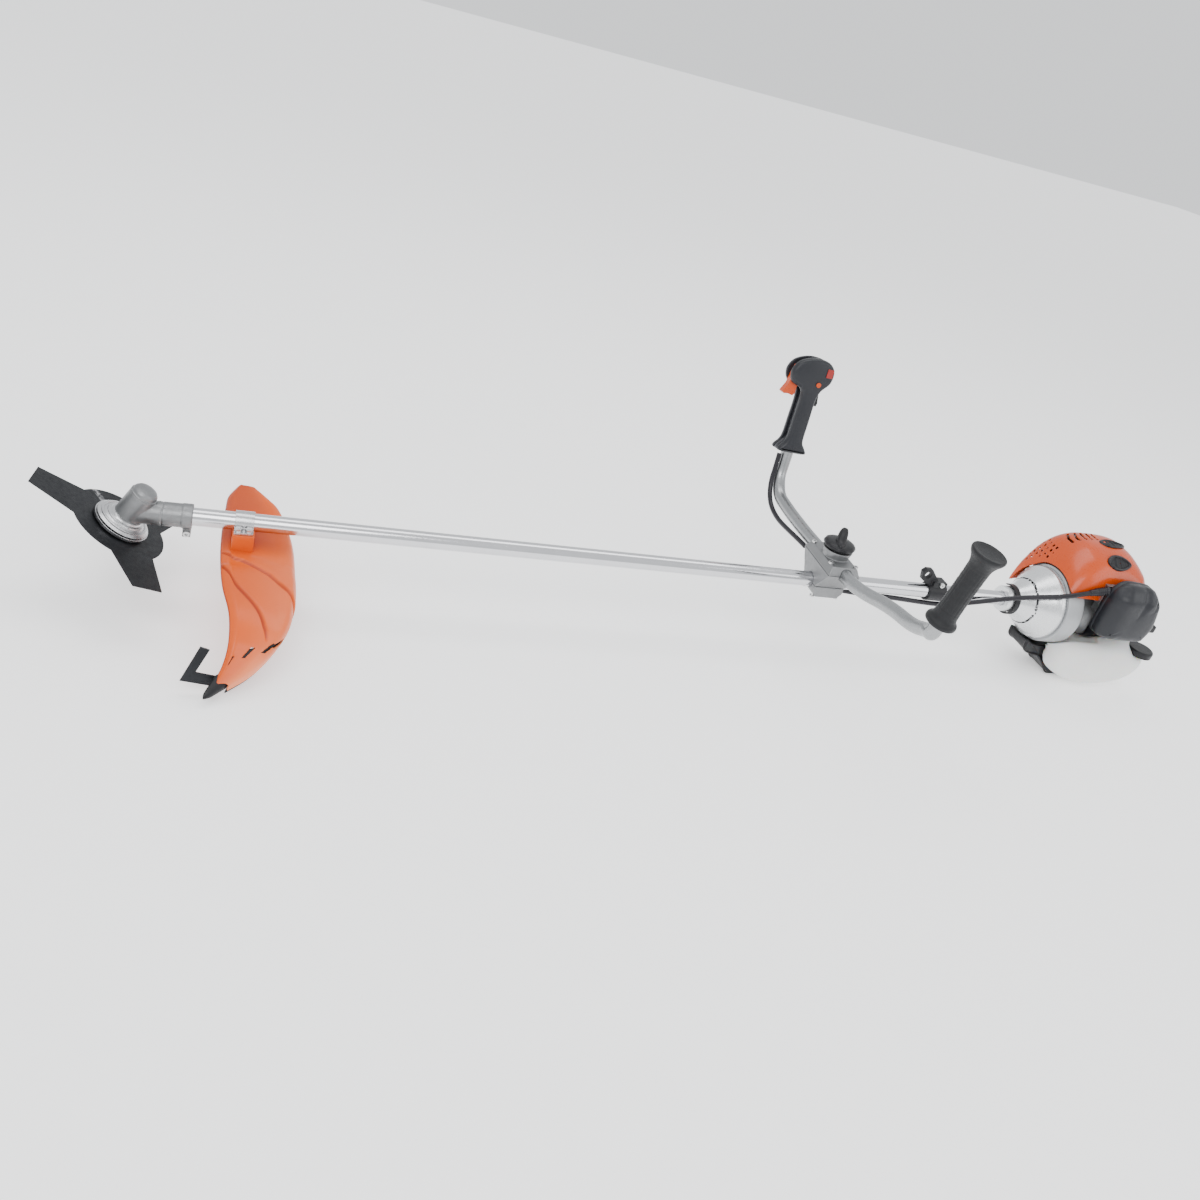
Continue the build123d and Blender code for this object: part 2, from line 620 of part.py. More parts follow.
def clutch_shoes():
    """Three shoes on a carrier that is fixed to the crankshaft."""
    shoes = ring(34.5, 13, 1532, 1546) - ring(20, 12, 1531, 1540)
    for i in range(3):
        slot = Plane(origin=(0, 0, 0), x_dir=(0, 1, 0), z_dir=(1, 0, 0)) * Rot(0, 0, 120 * i)
        shoes -= slot * Pos(30, 0, 1538) * Box(30, 4, 20)
    hub = turned([(6 + 0.02, 1546), (34.5, 1546), (34.5, 1549), (10, 1549), (10, 1556), (6 + 0.02, 1556)],
                 ALONG)
    return shoes + hub


def flywheel():
    wheel = turned([(6 + 0.02, 1572), (60, 1572), (60, 1577), (20, 1580), (14, 1594), (6 + 0.02, 1594)],
                   ALONG)
    for i in range(14):
        vane = ALONG * Rot(0, 0, 360 * i / 14) * Pos(42, 0, 1583.5) * Rot(0, 0, 25) * Box(28, 2.2, 13.2)
        wheel += vane
    return wheel


def crankshaft():
    shaft = disc(6, 1549, 1716)
    for x in (1624, 1643):
        shaft += disc(24, x, x + 8)
    return shaft + ALONG * Pos(0, 14, 1630) * Cylinder(5, 16, align=BASE)


FAN_R = 73.0


def fan_housing():
    """Aluminium volute round the flywheel, open to the front."""
    body = turned([(64, 1568.2), (FAN_R, 1568.2), (FAN_R, 1604), (60, 1612), (34, 1614),
                   (12, 1614), (12, 1606), (60, 1606), (64, 1602)], ALONG)
    return body


def crankcase():
    case = soft_prism([(1614.2, -40), (1668, -40), (1672, 0), (1668, 40), (1614.2, 40)], -36, 36, 4, 3)
    case -= disc(25, 1621, 1657)
    case -= disc(6 + FIT, 1600, 1690)
    return case - disc(19.6, 30, 50, Plane(origin=(CYLINDER_X, 0, 0)))


CYLINDER_X = 1639.0


def cylinder():
    """Finned air-cooled cylinder with a closed head."""
    frame = Plane(origin=(CYLINDER_X, 0, 0))
    barrel = disc(23, 40.2, 100, frame) + brick(CYLINDER_X - 24, CYLINDER_X + 24, -24, 24, 40.2, 45)
    for z in range(52, 100, 7):
        barrel += Pos(CYLINDER_X, 0, z) * Box(50, 56, 2.2)
    barrel += brick(CYLINDER_X - 2, CYLINDER_X + 28, -37, -20, 50, 76)
    barrel -= disc(17.5, 38, 92, frame)
    barrel -= rod((CYLINDER_X + 13, -40, 63), (CYLINDER_X, -5, 63), 6)
    return barrel - disc(5 + FIT, 90, 101, frame)


def spark_plug():
    """Plug with its rubber boot, as two solids."""
    frame = Plane(origin=(CYLINDER_X, 0, 0))
    plug = disc(5, 88, 100.1, frame) + frame * Pos(0, 0, 100.1) * extrude(RegularPolygon(8, 6), 6)
    boot = turned([(0, 106.3), (9, 106.3), (9, 113), (6, 118), (0, 118)], frame)
    return Compound([plug, boot])


def muffler():
    box = soft_prism([(1618, 46), (1690, 46), (1690, 96), (1618, 96)], 32, 68, 9, 4)
    return box + brick(1626, 1652, 28.2, 32.2, 58, 80)


COVER_SIDE = [(1550, 2), (1556, 40), (1566, 72), (1586, 106), (1602, 119), (1640, 128), (1704, 128),
              (1722, 120), (1750, 94), (1752, 80), (1700, 66), (1664, 58), (1640, 40), (1618, 26), (1604, 2)]
COVER_FRONT = [(80, 0), (80, 94), (66, 118), (44, 128), (0, 128), (-32, 112), (-56, 84), (-56, 0)]
COVER_WALL = 2.5


def front_prism(outline, x0, x1):
    """Outline of (Y, Z) points drawn between two X values."""
    frame = Plane(origin=(x0, 0, 0), x_dir=(0, 1, 0), z_dir=(1, 0, 0))
    return extrude(frame * make_face(Polyline(*outline, close=True)), x1 - x0)


def inset(outline, centre, wall):
    """Outline drawn in towards a centre by about one wall."""
    moved = []
    for p in outline:
        away = hypot(p[0] - centre[0], p[1] - centre[1])
        keep = 1 - wall * 1.15 / away
        moved.append((centre[0] + (p[0] - centre[0]) * keep, centre[1] + (p[1] - centre[1]) * keep))
    return moved


def top_cover():
    """Orange plastic hood over cylinder and muffler, open below."""
    outer = side_prism(COVER_SIDE, -56, 80) & front_prism(COVER_FRONT, 1540, 1760)
    inner_side = inset(COVER_SIDE[:10], (1650, 40), COVER_WALL) + [(1748, 10), (1554, -6)]
    inner_front = inset(COVER_FRONT[1:7], (12, 40), COVER_WALL)
    inner_front = [(77.5, -10)] + inner_front + [(-53.5, -10)]
    hood = outer - (side_prism(inner_side, -60, 90) & front_prism(inner_front, 1530, 1770))
    hood -= disc(FAN_R + 1.5, 1530, 1760)
    hood -= brick(1628, 1706, -70, -50, 20, 92)
    for row in range(6):
        for step in range(9):
            y, z = 74 - 9 * row, 14 + 9 * step
            if hypot(y, z) > FAN_R + 8:
                hood -= rod((1540, y, z), (1592, y, z), 2.4)
    for x in range(1592, 1650, 12):
        hood -= Pos(x, 46, 126) * Box(5, 30, 30)
    return hood


VENT_TILT = 27.0


def cover_vents():
    """Black vent caps set on the hood, one on top and one on the near slope."""
    top = soft_prism([(1658, 128.3), (1712, 128.3), (1714, 131), (1704, 134), (1664, 134.5)], 18, 42, 1, 0.8)
    lean = radians(VENT_TILT)
    slope = Plane(origin=(1664, -18, 119.4), x_dir=(1, 0, 0), z_dir=(0, -sin(lean), cos(lean)))
    near = loft([slope * Pos(0, 0, 0.4) * Rectangle(58, 26), slope * Pos(2, 0, 6.5) * Rectangle(44, 16)])
    return Compound([top, near])


FILTER_OUTLINE = [(1630, 10), (1640, -8), (1728, -8), (1738, 26), (1726, 84), (1708, 102), (1650, 102),
                  (1632, 76)]
FILTER_MIDDLE = (1684, 47)
FILTER_FACE, FILTER_BACK = -112.0, -67.0
INTAKE_X, INTAKE_Z = CYLINDER_X + 14, 63.0


def filter_base():
    plate = soft_prism(inset(FILTER_OUTLINE, FILTER_MIDDLE, 4), FILTER_BACK + 0.4, -63.4, 8, 0.8)
    return plate - rod((INTAKE_X, -70, INTAKE_Z), (INTAKE_X, -50, INTAKE_Z), 9)


def filter_cover():
    outer = soft_prism(FILTER_OUTLINE, FILTER_FACE, FILTER_BACK, 8, 7)
    hollow = side_prism(inset(FILTER_OUTLINE, FILTER_MIDDLE, 3), FILTER_FACE + 3.5, -60)
    return outer - hollow


def filter_element():
    return soft_prism(inset(FILTER_OUTLINE, FILTER_MIDDLE, 12), -94, FILTER_BACK, 6, 3)


def carburettor():
    """Body between cylinder and filter, with the primer block below it."""
    body = brick(INTAKE_X - 20, INTAKE_X + 22, -63, -37.4, 44, 84)
    body += brick(INTAKE_X - 12, INTAKE_X + 16, -58, -44, 24, 45)
    return body - rod((INTAKE_X, -70, INTAKE_Z), (INTAKE_X, -30, INTAKE_Z), 6)


def primer_bulb():
    frame = Plane(origin=(INTAKE_X + 2, -58, 33), z_dir=(0, -1, 0))
    return turned([(0, 0.02), (8.5, 0.02), (8.5, 1.2), (7, 3), (4, 4.4), (0, 4.8)], frame)


STARTER_X, STARTER_Z = 1764.0, 8.0


def starter_housing():
    """Recoil starter dome at the rear, with the eyelet for its cord."""
    body = turned([(7, 1672.4), (52, 1672.4), (56, 1678), (56, 1750), (48, 1768), (18, 1776), (0, 1776),
                   (0, 1773), (17, 1773), (46, 1765), (53, 1749), (53, 1680), (50, 1675.5), (7, 1675.5)],
                  ALONG)
    body += brick(STARTER_X - 6, STARTER_X + 6, -62, -50, STARTER_Z - 7, STARTER_Z + 7)
    return body - rod((STARTER_X, -90, STARTER_Z), (STARTER_X, -40, STARTER_Z), 2.2)


def starter_grip():
    """T-shaped pull with the visible end of its cord."""
    handle = brick(STARTER_X - 18, STARTER_X + 18, -76, -62.6, STARTER_Z - 7.5, STARTER_Z + 7.5)
    handle = fillet(handle.edges(), 3)
    return handle + rod((STARTER_X, -66, STARTER_Z), (STARTER_X, -52, STARTER_Z), 1.8)


TANK_SIDE = [(1604, -34), (1595, -76), (1610, -108), (1645, -130), (1690, -138), (1750, -131), (1788, -108),
             (1806, -78), (1798, -52), (1740, -34)]
TANK_FRONT = [(72, -50), (76, -70), (74, -108), (52, -138), (-52, -138), (-86, -112), (-93, -76), (-84, -40),
              (-60, -30), (60, -30)]
TANK_WALL = 3.0
FOOT_OUTLINE = [(1560, -62), (1572, -74), (1618, -78), (1624, -100), (1644, -124), (1672, -140), (1636, -140),
                (1618, -123), (1600, -107), (1574, -99), (1556, -84)]
FOOT_NEAR, FOOT_FAR = -32.0, 24.0
CAP_AT = (1780.0, -70.0)
CAP_LOW = -50.0


def foot_room(gap):
    """Space kept free in the tank for the foot, a gap larger all round."""
    outline = [(1500, -50), (1619 + gap, -50), (1625 + gap, -99), (1645 + gap, -123), (1673 + gap, -139),
               (1674 + gap, -150), (1500, -150)]
    return side_prism(outline, FOOT_NEAR - gap, FOOT_FAR + gap)


def fuel_tank():
    """Hollow cushion-shaped tank under the engine."""
    outer = side_prism(TANK_SIDE, -100, 90) & front_prism(TANK_FRONT, 1570, 1820)
    middle_side, middle_front = (1695, -80), (-8, -80)
    inner = side_prism(inset(TANK_SIDE, middle_side, TANK_WALL), -100, 90)
    inner = inner & front_prism(inset(TANK_FRONT, middle_front, TANK_WALL), 1570, 1820)
    keep_out = disc(FAN_R + 2, 1540, 1672) + disc(58, 1600, 1800)
    wall = disc(FAN_R + 5, 1540, 1675) + disc(61, 1600, 1803)
    tank = (outer - keep_out - foot_room(1)) - (inner - wall - foot_room(4))
    neck = Plane(origin=(*CAP_AT, 0))
    tank -= disc(25.5, CAP_LOW - 0.5, -10, neck)
    tank += ring(15, 12, CAP_LOW - 9, CAP_LOW + 8, neck)
    return tank - disc(12, CAP_LOW - 20, CAP_LOW + 10, neck)


def fuel_cap():
    frame = Plane(origin=(*CAP_AT, 0))
    top = CAP_LOW + 13
    return turned([(0, top), (22, top), (24, top - 2), (24, CAP_LOW), (15.4, CAP_LOW), (15.4, CAP_LOW + 8.4),
                   (0, CAP_LOW + 8.4)], frame)


def tank_foot():
    return side_prism(FOOT_OUTLINE, FOOT_NEAR, FOOT_FAR) - disc(FAN_R + 1, 1500, 1640)


# ---- cables ----
def throttle_cable_upper():
    return tube_along(CABLE_UPPER, CABLE_R, "upper cable")


def throttle_cable_lower():
    return tube_along(CABLE_LOWER, CABLE_R, "lower cable")


MAKERS = [blade, thrust_plate, clamp_plate, blade_cup, blade_nut, spindle, crown_gear, pinion_gear,
          gear_housing, gear_housing_cap, gear_bearings, wrap_shield, shaft_tube, drive_shaft,
          drive_shaft_bushes, guard, guard_edge_lip, guard_clamp, guard_bolts, line_knife, bracket_base,
          bracket_body, bracket_cap, clamp_screws, clamp_knob, handlebar, left_grip, throttle_trigger,
          throttle_lock_lever, half_throttle_button, stop_switch, handle_screws, harness_clamp,
          cable_clip, clutch_housing, clutch_drum, clutch_shoes, flywheel, crankshaft, fan_housing,
          crankcase, cylinder, spark_plug, muffler, top_cover, cover_vents, filter_base, filter_cover,
          filter_element, carburettor, primer_bulb, starter_housing, starter_grip, fuel_tank, fuel_cap,
          tank_foot, throttle_cable_upper, throttle_cable_lower]


def to_part_frame(shape):
    return Pos(-ORIGIN_X, -ORIGIN_Y, -FLOOR_Z) * shape


def main():
    os.makedirs("parts", exist_ok=True)
    for side, name in ((1, "handle_shell_left"), (-1, "handle_shell_right")):
        PARTS[name] = handle_shell(side)
    for maker in MAKERS:
        PARTS[maker.__name__] = maker()
    for name, shape in PARTS.items():
        export_step(to_part_frame(shape), f"parts/{name}.step")


main()
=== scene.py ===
import json
import math

import bmesh
import bpy
from mathutils import Matrix, Vector


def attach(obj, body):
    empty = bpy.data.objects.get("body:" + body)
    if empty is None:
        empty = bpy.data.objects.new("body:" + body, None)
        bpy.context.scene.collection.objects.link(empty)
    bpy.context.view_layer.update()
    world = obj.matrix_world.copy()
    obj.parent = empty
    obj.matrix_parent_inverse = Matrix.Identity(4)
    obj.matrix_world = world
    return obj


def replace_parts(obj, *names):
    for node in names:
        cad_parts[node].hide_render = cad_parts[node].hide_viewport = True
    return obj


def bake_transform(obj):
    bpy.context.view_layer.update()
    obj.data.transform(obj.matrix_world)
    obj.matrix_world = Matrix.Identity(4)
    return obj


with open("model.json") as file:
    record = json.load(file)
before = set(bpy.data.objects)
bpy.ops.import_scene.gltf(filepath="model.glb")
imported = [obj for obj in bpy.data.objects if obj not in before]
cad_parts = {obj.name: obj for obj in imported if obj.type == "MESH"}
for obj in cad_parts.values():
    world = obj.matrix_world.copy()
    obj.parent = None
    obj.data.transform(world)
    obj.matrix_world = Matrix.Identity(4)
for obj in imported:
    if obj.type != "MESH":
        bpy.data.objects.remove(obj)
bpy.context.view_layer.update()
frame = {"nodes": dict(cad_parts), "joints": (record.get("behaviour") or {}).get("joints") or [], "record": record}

MM = 0.001
HEAD_TILT = math.radians(30)
RINGS_PER_M = 9000.0
SPIN = next(j for j in frame["joints"] if j["name"] == "blade_spin")
HEAD_POINT = Vector(SPIN["pos_m"])
BODY_OF = {n: b for b, ns in frame["record"]["behaviour"]["bodies"].items() for n in ns}
SLOT_OF = {s["node"]: s["material_slot"] for s in frame["record"]["subparts"]}


def at(x, y, z):
    """A point measured in mm from the gear head, X along the shaft, in row metres."""
    return HEAD_POINT + Vector((x, y, z)) * MM


def eased(t):
    """Smooth step from 0 to 1."""
    t = min(1, max(0, t))
    return t * t * (3 - 2 * t)


# ---- materials ----
def node(tree, kind, links=None, **values):
    """A shader node with its settings, constants and incoming links."""
    n = tree.nodes.new(kind)
    for key, value in values.items():
        setattr(n, key, value)
    for socket, source in (links or {}).items():
        if isinstance(source, (int, float, tuple)):
            n.inputs[socket].default_value = source
        else:
            tree.links.new(source, n.inputs[socket])
    return n


def ramp(tree, source, low, high, a, b):
    """Value source from low..high mapped to a..b."""
    limits = {"From Min": low, "From Max": high, "To Min": a, "To Max": b}
    return node(tree, "ShaderNodeMapRange", {"Value": source, **limits}).outputs["Result"]


def combined(tree, operation, a, b):
    return node(tree, "ShaderNodeMath", {0: a, 1: b}, operation=operation).outputs[0]


def noise(tree, place, scale, detail, roughness):
    links = {"Vector": place, "Scale": scale, "Detail": detail, "Roughness": roughness}
    return node(tree, "ShaderNodeTexNoise", links).outputs["Fac"]


def mixed(tree, factor, a, b):
    """Colours a and b mixed by factor."""
    n = node(tree, "ShaderNodeMix", data_type="RGBA")
    for socket, source in ((n.inputs[0], factor), (n.inputs[6], a), (n.inputs[7], b)):
        if isinstance(source, (int, float, tuple)):
            socket.default_value = source
        else:
            tree.links.new(source, socket)
    return n.outputs[2]


def shade(color, k):
    return tuple(min(1.0, c * k) for c in color) + (1.0,)


BROAD_SCALE, MIDDLE_SCALE = 18.0, 140.0
DUST_COLOR = (0.42, 0.39, 0.34, 1)
BUMP_DEPTH = 0.0004


def surface(name, color, rough, metal=0.0, grain=900.0, bump=0.15, blotch=0.08, stretch=(1, 1, 1),
            wear=None, wear_level=0.55, rough_span=0.08, coat=0.0, through=0.0, soft=0.0, dust=0.0,
            pattern=None, ior=1.46, sheen=0.0, spec=0.5, painted_light_and_shade=None):
    """Procedural finish in object space: blotchy colour, grain bump, worn edges and uneven roughness.

    wear is the colour of rubbed edges, pattern adds a relief, and the last argument holds a painted highlight
    colour and a painted shade colour that the mesh's tone attribute (-1 to 1) mixes in.
    """
    mat = bpy.data.materials.new(name)
    mat.use_nodes = True
    tree = mat.node_tree
    shader = tree.nodes["Principled BSDF"]
    place = node(tree, "ShaderNodeTexCoord").outputs["Object"]
    stretched = node(tree, "ShaderNodeMapping", {"Vector": place, "Scale": stretch}).outputs[0]
    fine = noise(tree, stretched, grain, 3.0, 0.5)
    broad = noise(tree, place, BROAD_SCALE, 5.0, 0.6)
    middle = noise(tree, place, MIDDLE_SCALE, 4.0, 0.65)
    tone = mixed(tree, ramp(tree, broad, 0.3, 0.7, 0, 1), shade(color, 1 - blotch), shade(color, 1 + blotch))
    tone = mixed(tree, ramp(tree, fine, 0.35, 0.65, 0, 0.35), tone, shade(color, 1 - 2 * blotch))
    # painted highlight and painted shade: a positive tone attribute mixes towards the pale colour, a negative one
    # towards the dark colour
    if painted_light_and_shade:
        painted = node(tree, "ShaderNodeAttribute", attribute_name="tone").outputs["Fac"]
        tone = mixed(tree, ramp(tree, painted, 0, 1, 0, 1), tone, painted_light_and_shade[0] + (1,))
        tone = mixed(tree, ramp(tree, painted, 0, -1, 0, 1), tone, painted_light_and_shade[1] + (1,))
    level = ramp(tree, middle, 0.3, 0.7, rough - rough_span, rough + rough_span)
    if dust:
        facing = node(tree, "ShaderNodeNewGeometry").outputs["Normal"]
        up = node(tree, "ShaderNodeSeparateXYZ", {"Vector": facing}).outputs["Z"]
        patches = ramp(tree, middle, 0.4, 0.7, 0, 1)
        lying = combined(tree, "MULTIPLY", ramp(tree, up, 0.3, 1, 0, dust), patches)
        tone = mixed(tree, lying, tone, DUST_COLOR)
    if wear:
        point = node(tree, "ShaderNodeNewGeometry").outputs["Pointiness"]
        edge = ramp(tree, point, wear_level, wear_level + 0.06, 0, 1)
        rubbed = combined(tree, "MULTIPLY", edge, ramp(tree, middle, 0.42, 0.6, 0, 0.8))
        tone = mixed(tree, rubbed, tone, tuple(wear) + (1,))
    tree.links.new(tone, shader.inputs["Base Color"])
    tree.links.new(level, shader.inputs["Roughness"])
    height = pattern(tree, place, fine) if pattern else fine
    lump = node(tree, "ShaderNodeBump", {"Height": height, "Strength": bump, "Distance": BUMP_DEPTH})
    tree.links.new(lump.outputs[0], shader.inputs["Normal"])
    shader.inputs["Metallic"].default_value = metal
    shader.inputs["IOR"].default_value = ior
    shader.inputs["Specular IOR Level"].default_value = spec
    shader.inputs["Coat Weight"].default_value = coat
    shader.inputs["Coat Roughness"].default_value = 0.12
    shader.inputs["Transmission Weight"].default_value = through
    shader.inputs["Sheen Weight"].default_value = sheen
    if soft:
        shader.inputs["Subsurface Weight"].default_value = soft
        shader.inputs["Subsurface Radius"].default_value = (0.9, 0.6, 0.4)
        shader.inputs["Subsurface Scale"].default_value = 0.006
    return mat


def diamonds(tree, place, height):
    """Small raised diamonds, as moulded into a rubber grip."""
    cells = node(tree, "ShaderNodeTexVoronoi", {"Vector": place, "Scale": 420.0, "Randomness": 0.15},
                 distance="CHEBYCHEV")
    return combined(tree, "ADD", cells.outputs["Distance"], height)


def turned_rings(tree, place, height):
    """Fine concentric lathe marks about the spindle."""
    local = node(tree, "ShaderNodeMapping", {"Vector": place, "Location": tuple(-HEAD_POINT)}).outputs[0]
    tilted = node(tree, "ShaderNodeVectorRotate", {"Vector": local, "Angle": -HEAD_TILT},
                  rotation_type="Y_AXIS").outputs[0]
    flat = node(tree, "ShaderNodeVectorMath", {0: tilted, 1: (1.0, 1.0, 0.0)},
                operation="MULTIPLY").outputs[0]
    radius = node(tree, "ShaderNodeVectorMath", {0: flat}, operation="LENGTH").outputs["Value"]
    wave = combined(tree, "MULTIPLY", radius, RINGS_PER_M)
    ring = node(tree, "ShaderNodeMath", {0: wave}, operation="SINE").outputs[0]
    return combined(tree, "ADD", ring, height)


STEEL_RUB = (0.62, 0.62, 0.63)
FINISH = {
    "blade_steel": surface("blade_steel", (0.020, 0.021, 0.024), 0.42, 0.75, 500, 0.25, 0.22,
                           wear=STEEL_RUB, wear_level=0.56, rough_span=0.12, stretch=(1, 6, 1)),
    "bright_steel": surface("bright_steel", (0.56, 0.56, 0.57), 0.22, 1.0, 700, 0.10, 0.06,
                            pattern=turned_rings),
    "hardened_steel": surface("hardened_steel", (0.42, 0.42, 0.44), 0.32, 1.0, 800, 0.12, 0.10),
    "cast_alloy": surface("cast_alloy", (0.24, 0.243, 0.247), 0.42, 0.9, 1300, 0.45, 0.12,
                          wear=(0.70, 0.70, 0.71), rough_span=0.1),
    "tube_alloy": surface("tube_alloy", (0.66, 0.66, 0.68), 0.15, 1.0, 260, 0.05, 0.04, stretch=(0.02, 3, 3),
                          rough_span=0.05),
    "bar_alloy": surface("bar_alloy", (0.33, 0.337, 0.343), 0.31, 0.95, 500, 0.12, 0.05, stretch=(1, 0.1, 1)),
    "bearing_steel": surface("bearing_steel", (0.55, 0.55, 0.57), 0.25, 1.0, 800, 0.08, 0.05),
    "bush_rubber": surface("bush_rubber", (0.03, 0.03, 0.03), 0.7, 0, 900, 0.2, 0.1),
    "black_plastic": surface("black_plastic", (0.008, 0.008, 0.010), 0.40, 0, 1700, 0.30, 0.15,
                             wear=(0.07, 0.07, 0.075), dust=0.02, spec=0.35),
    "grey_plastic": surface("grey_plastic", (0.014, 0.015, 0.019), 0.36, 0, 1900, 0.38, 0.12,
                            wear=(0.08, 0.08, 0.092), dust=0.02, spec=0.4),
    "grip_rubber": surface("grip_rubber", (0.008, 0.0085, 0.010), 0.50, 0, 1500, 0.55, 0.12,
                           wear=(0.04, 0.04, 0.045), pattern=diamonds, dust=0.02, spec=0.35),
    "orange_gloss": surface("orange_gloss", (0.52, 0.055, 0.0008), 0.30, 0, 1100, 0.05, 0.06,
                            wear=(0.75, 0.22, 0.05), coat=0.25, wear_level=0.57, spec=0.4),
    # the guard's last two colours are a painted highlight and a painted shade, mixed in by its tone attribute
    "orange_guard": surface("orange_guard", (0.66, 0.090, 0.002), 0.40, 0, 900, 0.08, 0.05,
                            wear=(0.85, 0.30, 0.12), coat=0.1, soft=0.12, wear_level=0.58, spec=0.35,
                            painted_light_and_shade=((0.84, 0.24, 0.10), (0.34, 0.028, 0.0005))),
    "red_plastic": surface("red_plastic", (0.30, 0.012, 0.008), 0.3, 0, 1100, 0.06, 0.05, coat=0.3),
    "tank_plastic": surface("tank_plastic", (0.90, 0.90, 0.88), 0.38, 0, 700, 0.12, 0.03,
                            through=0.18, soft=0.6, rough_span=0.06),
    "bell_alloy": surface("bell_alloy", (0.72, 0.73, 0.74), 0.27, 0.9, 900, 0.25, 0.05,
                          wear=(0.95, 0.95, 0.95)),
    "fan_grey": surface("fan_grey", (0.40, 0.41, 0.42), 0.45, 0.7, 1200, 0.4, 0.08, wear=(0.7, 0.7, 0.72)),
    "cable_jacket": surface("cable_jacket", (0.012, 0.011, 0.015), 0.34, 0, 600, 0.12, 0.12, spec=0.4),
    "zinc_screws": surface("zinc_screws", (0.60, 0.60, 0.60), 0.3, 1.0, 900, 0.1, 0.08),
    "bulb": surface("bulb", (0.30, 0.29, 0.26), 0.22, 0, 500, 0.05, 0.05, through=0.25, soft=0.2),
    "muffler_black": surface("muffler_black", (0.03, 0.03, 0.03), 0.6, 0.4, 900, 0.4, 0.2,
                             wear=(0.3, 0.22, 0.16)),
    "foam": surface("foam", (0.05, 0.05, 0.05), 0.9, 0, 700, 0.9, 0.2, sheen=0.2),
}


# ---- pieces ----
def finish_piece(obj, stands_for, rides=True):
    """Puts a piece on the body and in the finish of the CAD node it stands for."""
    obj.data.materials.clear()
    obj.data.materials.append(FINISH[SLOT_OF[stands_for]])
    if obj.type == "MESH":
        for f in obj.data.polygons:
            f.use_smooth = True
    if rides:
        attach(obj, BODY_OF[stands_for])
    return obj


replaced = set()


def stand_in(obj, cad_name):
    """Finishes a piece and hides the CAD node that it takes the place of."""
    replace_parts(finish_piece(obj, cad_name), cad_name)
    replaced.add(cad_name)


def mesh_object(name, verts, faces):
    """A new object from points in row metres and faces."""
    mesh = bpy.data.meshes.new(name)
    mesh.from_pydata([tuple(v) for v in verts], [], faces)
    mesh.validate()
    mesh.update()
    obj = bpy.data.objects.new(name, mesh)
    bpy.context.scene.collection.objects.link(obj)
    return obj


def applied(obj):
    """Bakes the modifiers into the mesh."""
    graph = bpy.context.evaluated_depsgraph_get()
    graph.update()
    mesh = bpy.data.meshes.new_from_object(obj.evaluated_get(graph))
    obj.modifiers.clear()
    obj.data = mesh
    return obj


def relaxed(obj, factor, rounds):
    """Adds a smoothing of the mesh."""
    relax = obj.modifiers.new("relax", "SMOOTH")
    relax.factor = factor
    relax.iterations = rounds


WELD_GAP = 1e-5
SOFTEN_FACTOR = 0.6


def soften(node_name, voxel, rounds, keep):
    """A moulded or cast version of a CAD node, its edges rounded over and its hollows filleted."""
    source = frame["nodes"][node_name]
    obj = bpy.data.objects.new(node_name + "_form", source.data.copy())
    bpy.context.scene.collection.objects.link(obj)
    weld = obj.modifiers.new("weld", "WELD")
    weld.merge_threshold = WELD_GAP
    grid = obj.modifiers.new("grid", "REMESH")
    grid.mode = "VOXEL"
    grid.voxel_size = voxel * MM
    grid.adaptivity = 0.0
    relaxed(obj, SOFTEN_FACTOR, rounds)
    applied(obj)
    thin = obj.modifiers.new("thin", "DECIMATE")
    thin.ratio = keep
    applied(obj)
    stand_in(obj, node_name)


def catmull(values, t):
    """Smooth interpolation through rows of equal length, t from 0 to len - 1."""
    i = min(int(t), len(values) - 2)
    u = t - i
    p0 = values[max(i - 1, 0)]
    p1 = values[i]
    p2 = values[i + 1]
    p3 = values[min(i + 2, len(values) - 1)]
    out = []
    for a, b, c, d in zip(p0, p1, p2, p3):
        out.append(0.5 * (2 * b + (c - a) * u + (2 * a - 5 * b + 4 * c - d) * u * u
                          + (3 * b - a - 3 * c + d) * u ** 3))
    return out


def grid_faces(rows, columns, closed=False):
    """Quads between rows of points; a closed grid joins the last column to the first."""
    faces = []
    for i in range(rows - 1):
        for j in range(columns if closed else columns - 1):
            k = (j + 1) % columns
            faces.append((i * columns + j, i * columns + k, (i + 1) * columns + k, (i + 1) * columns + j))
    return faces


def tube_faces(rows, columns):
    """A closed grid with a cap at each end."""
    ends = [tuple(range(columns - 1, -1, -1)), tuple(range((rows - 1) * columns, rows * columns))]
    return grid_faces(rows, columns, closed=True) + ends


def bevel_nodes(names):
    """CAD nodes that stay: their sharp edges get a small round, and their own finish."""
    for name in names:
        obj = frame["nodes"][name]
        weld = obj.modifiers.new("weld", "WELD")
        weld.merge_threshold = WELD_GAP
        edge = obj.modifiers.new("edge", "BEVEL")
        edge.width = 0.35 * MM
        edge.segments = 2
        edge.limit_method = "ANGLE"
        edge.angle_limit = math.radians(34)
        normal = obj.modifiers.new("normal", "WEIGHTED_NORMAL")
        normal.keep_sharp = True
        for f in obj.data.polygons:
            f.use_smooth = True
        obj.data.materials.clear()
        obj.data.materials.append(FINISH[SLOT_OF[name]])


# ---- guard: one thin sheet, swept through rows of (side, front, rear, front height, rear height) ----
GUARD_ROWS = [
    (132, 127, 153, 55, 62), (108, 120, 172, 46, 70), (80, 120, 190, 42, 76), (20, 122, 211, 36, 76),
    (-40, 127, 220, 32, 72), (-100, 135, 225, 31, 66), (-150, 151, 226, 28, 54), (-185, 164, 218, 12, 33),
    (-206, 172, 207, -11, 4), (-222, 174, 190, -35, -27),
]
HEAD_X = Vector((math.cos(HEAD_TILT), 0, -math.sin(HEAD_TILT)))
HEAD_Z = Vector((math.sin(HEAD_TILT), 0, math.cos(HEAD_TILT)))


def head(a, b, h):
    """A point in the cutter's own frame, in mm: a to the rear, b sideways, h up the spindle."""
    v = HEAD_X * a + HEAD_Z * h
    return at(v.x, b, v.z)


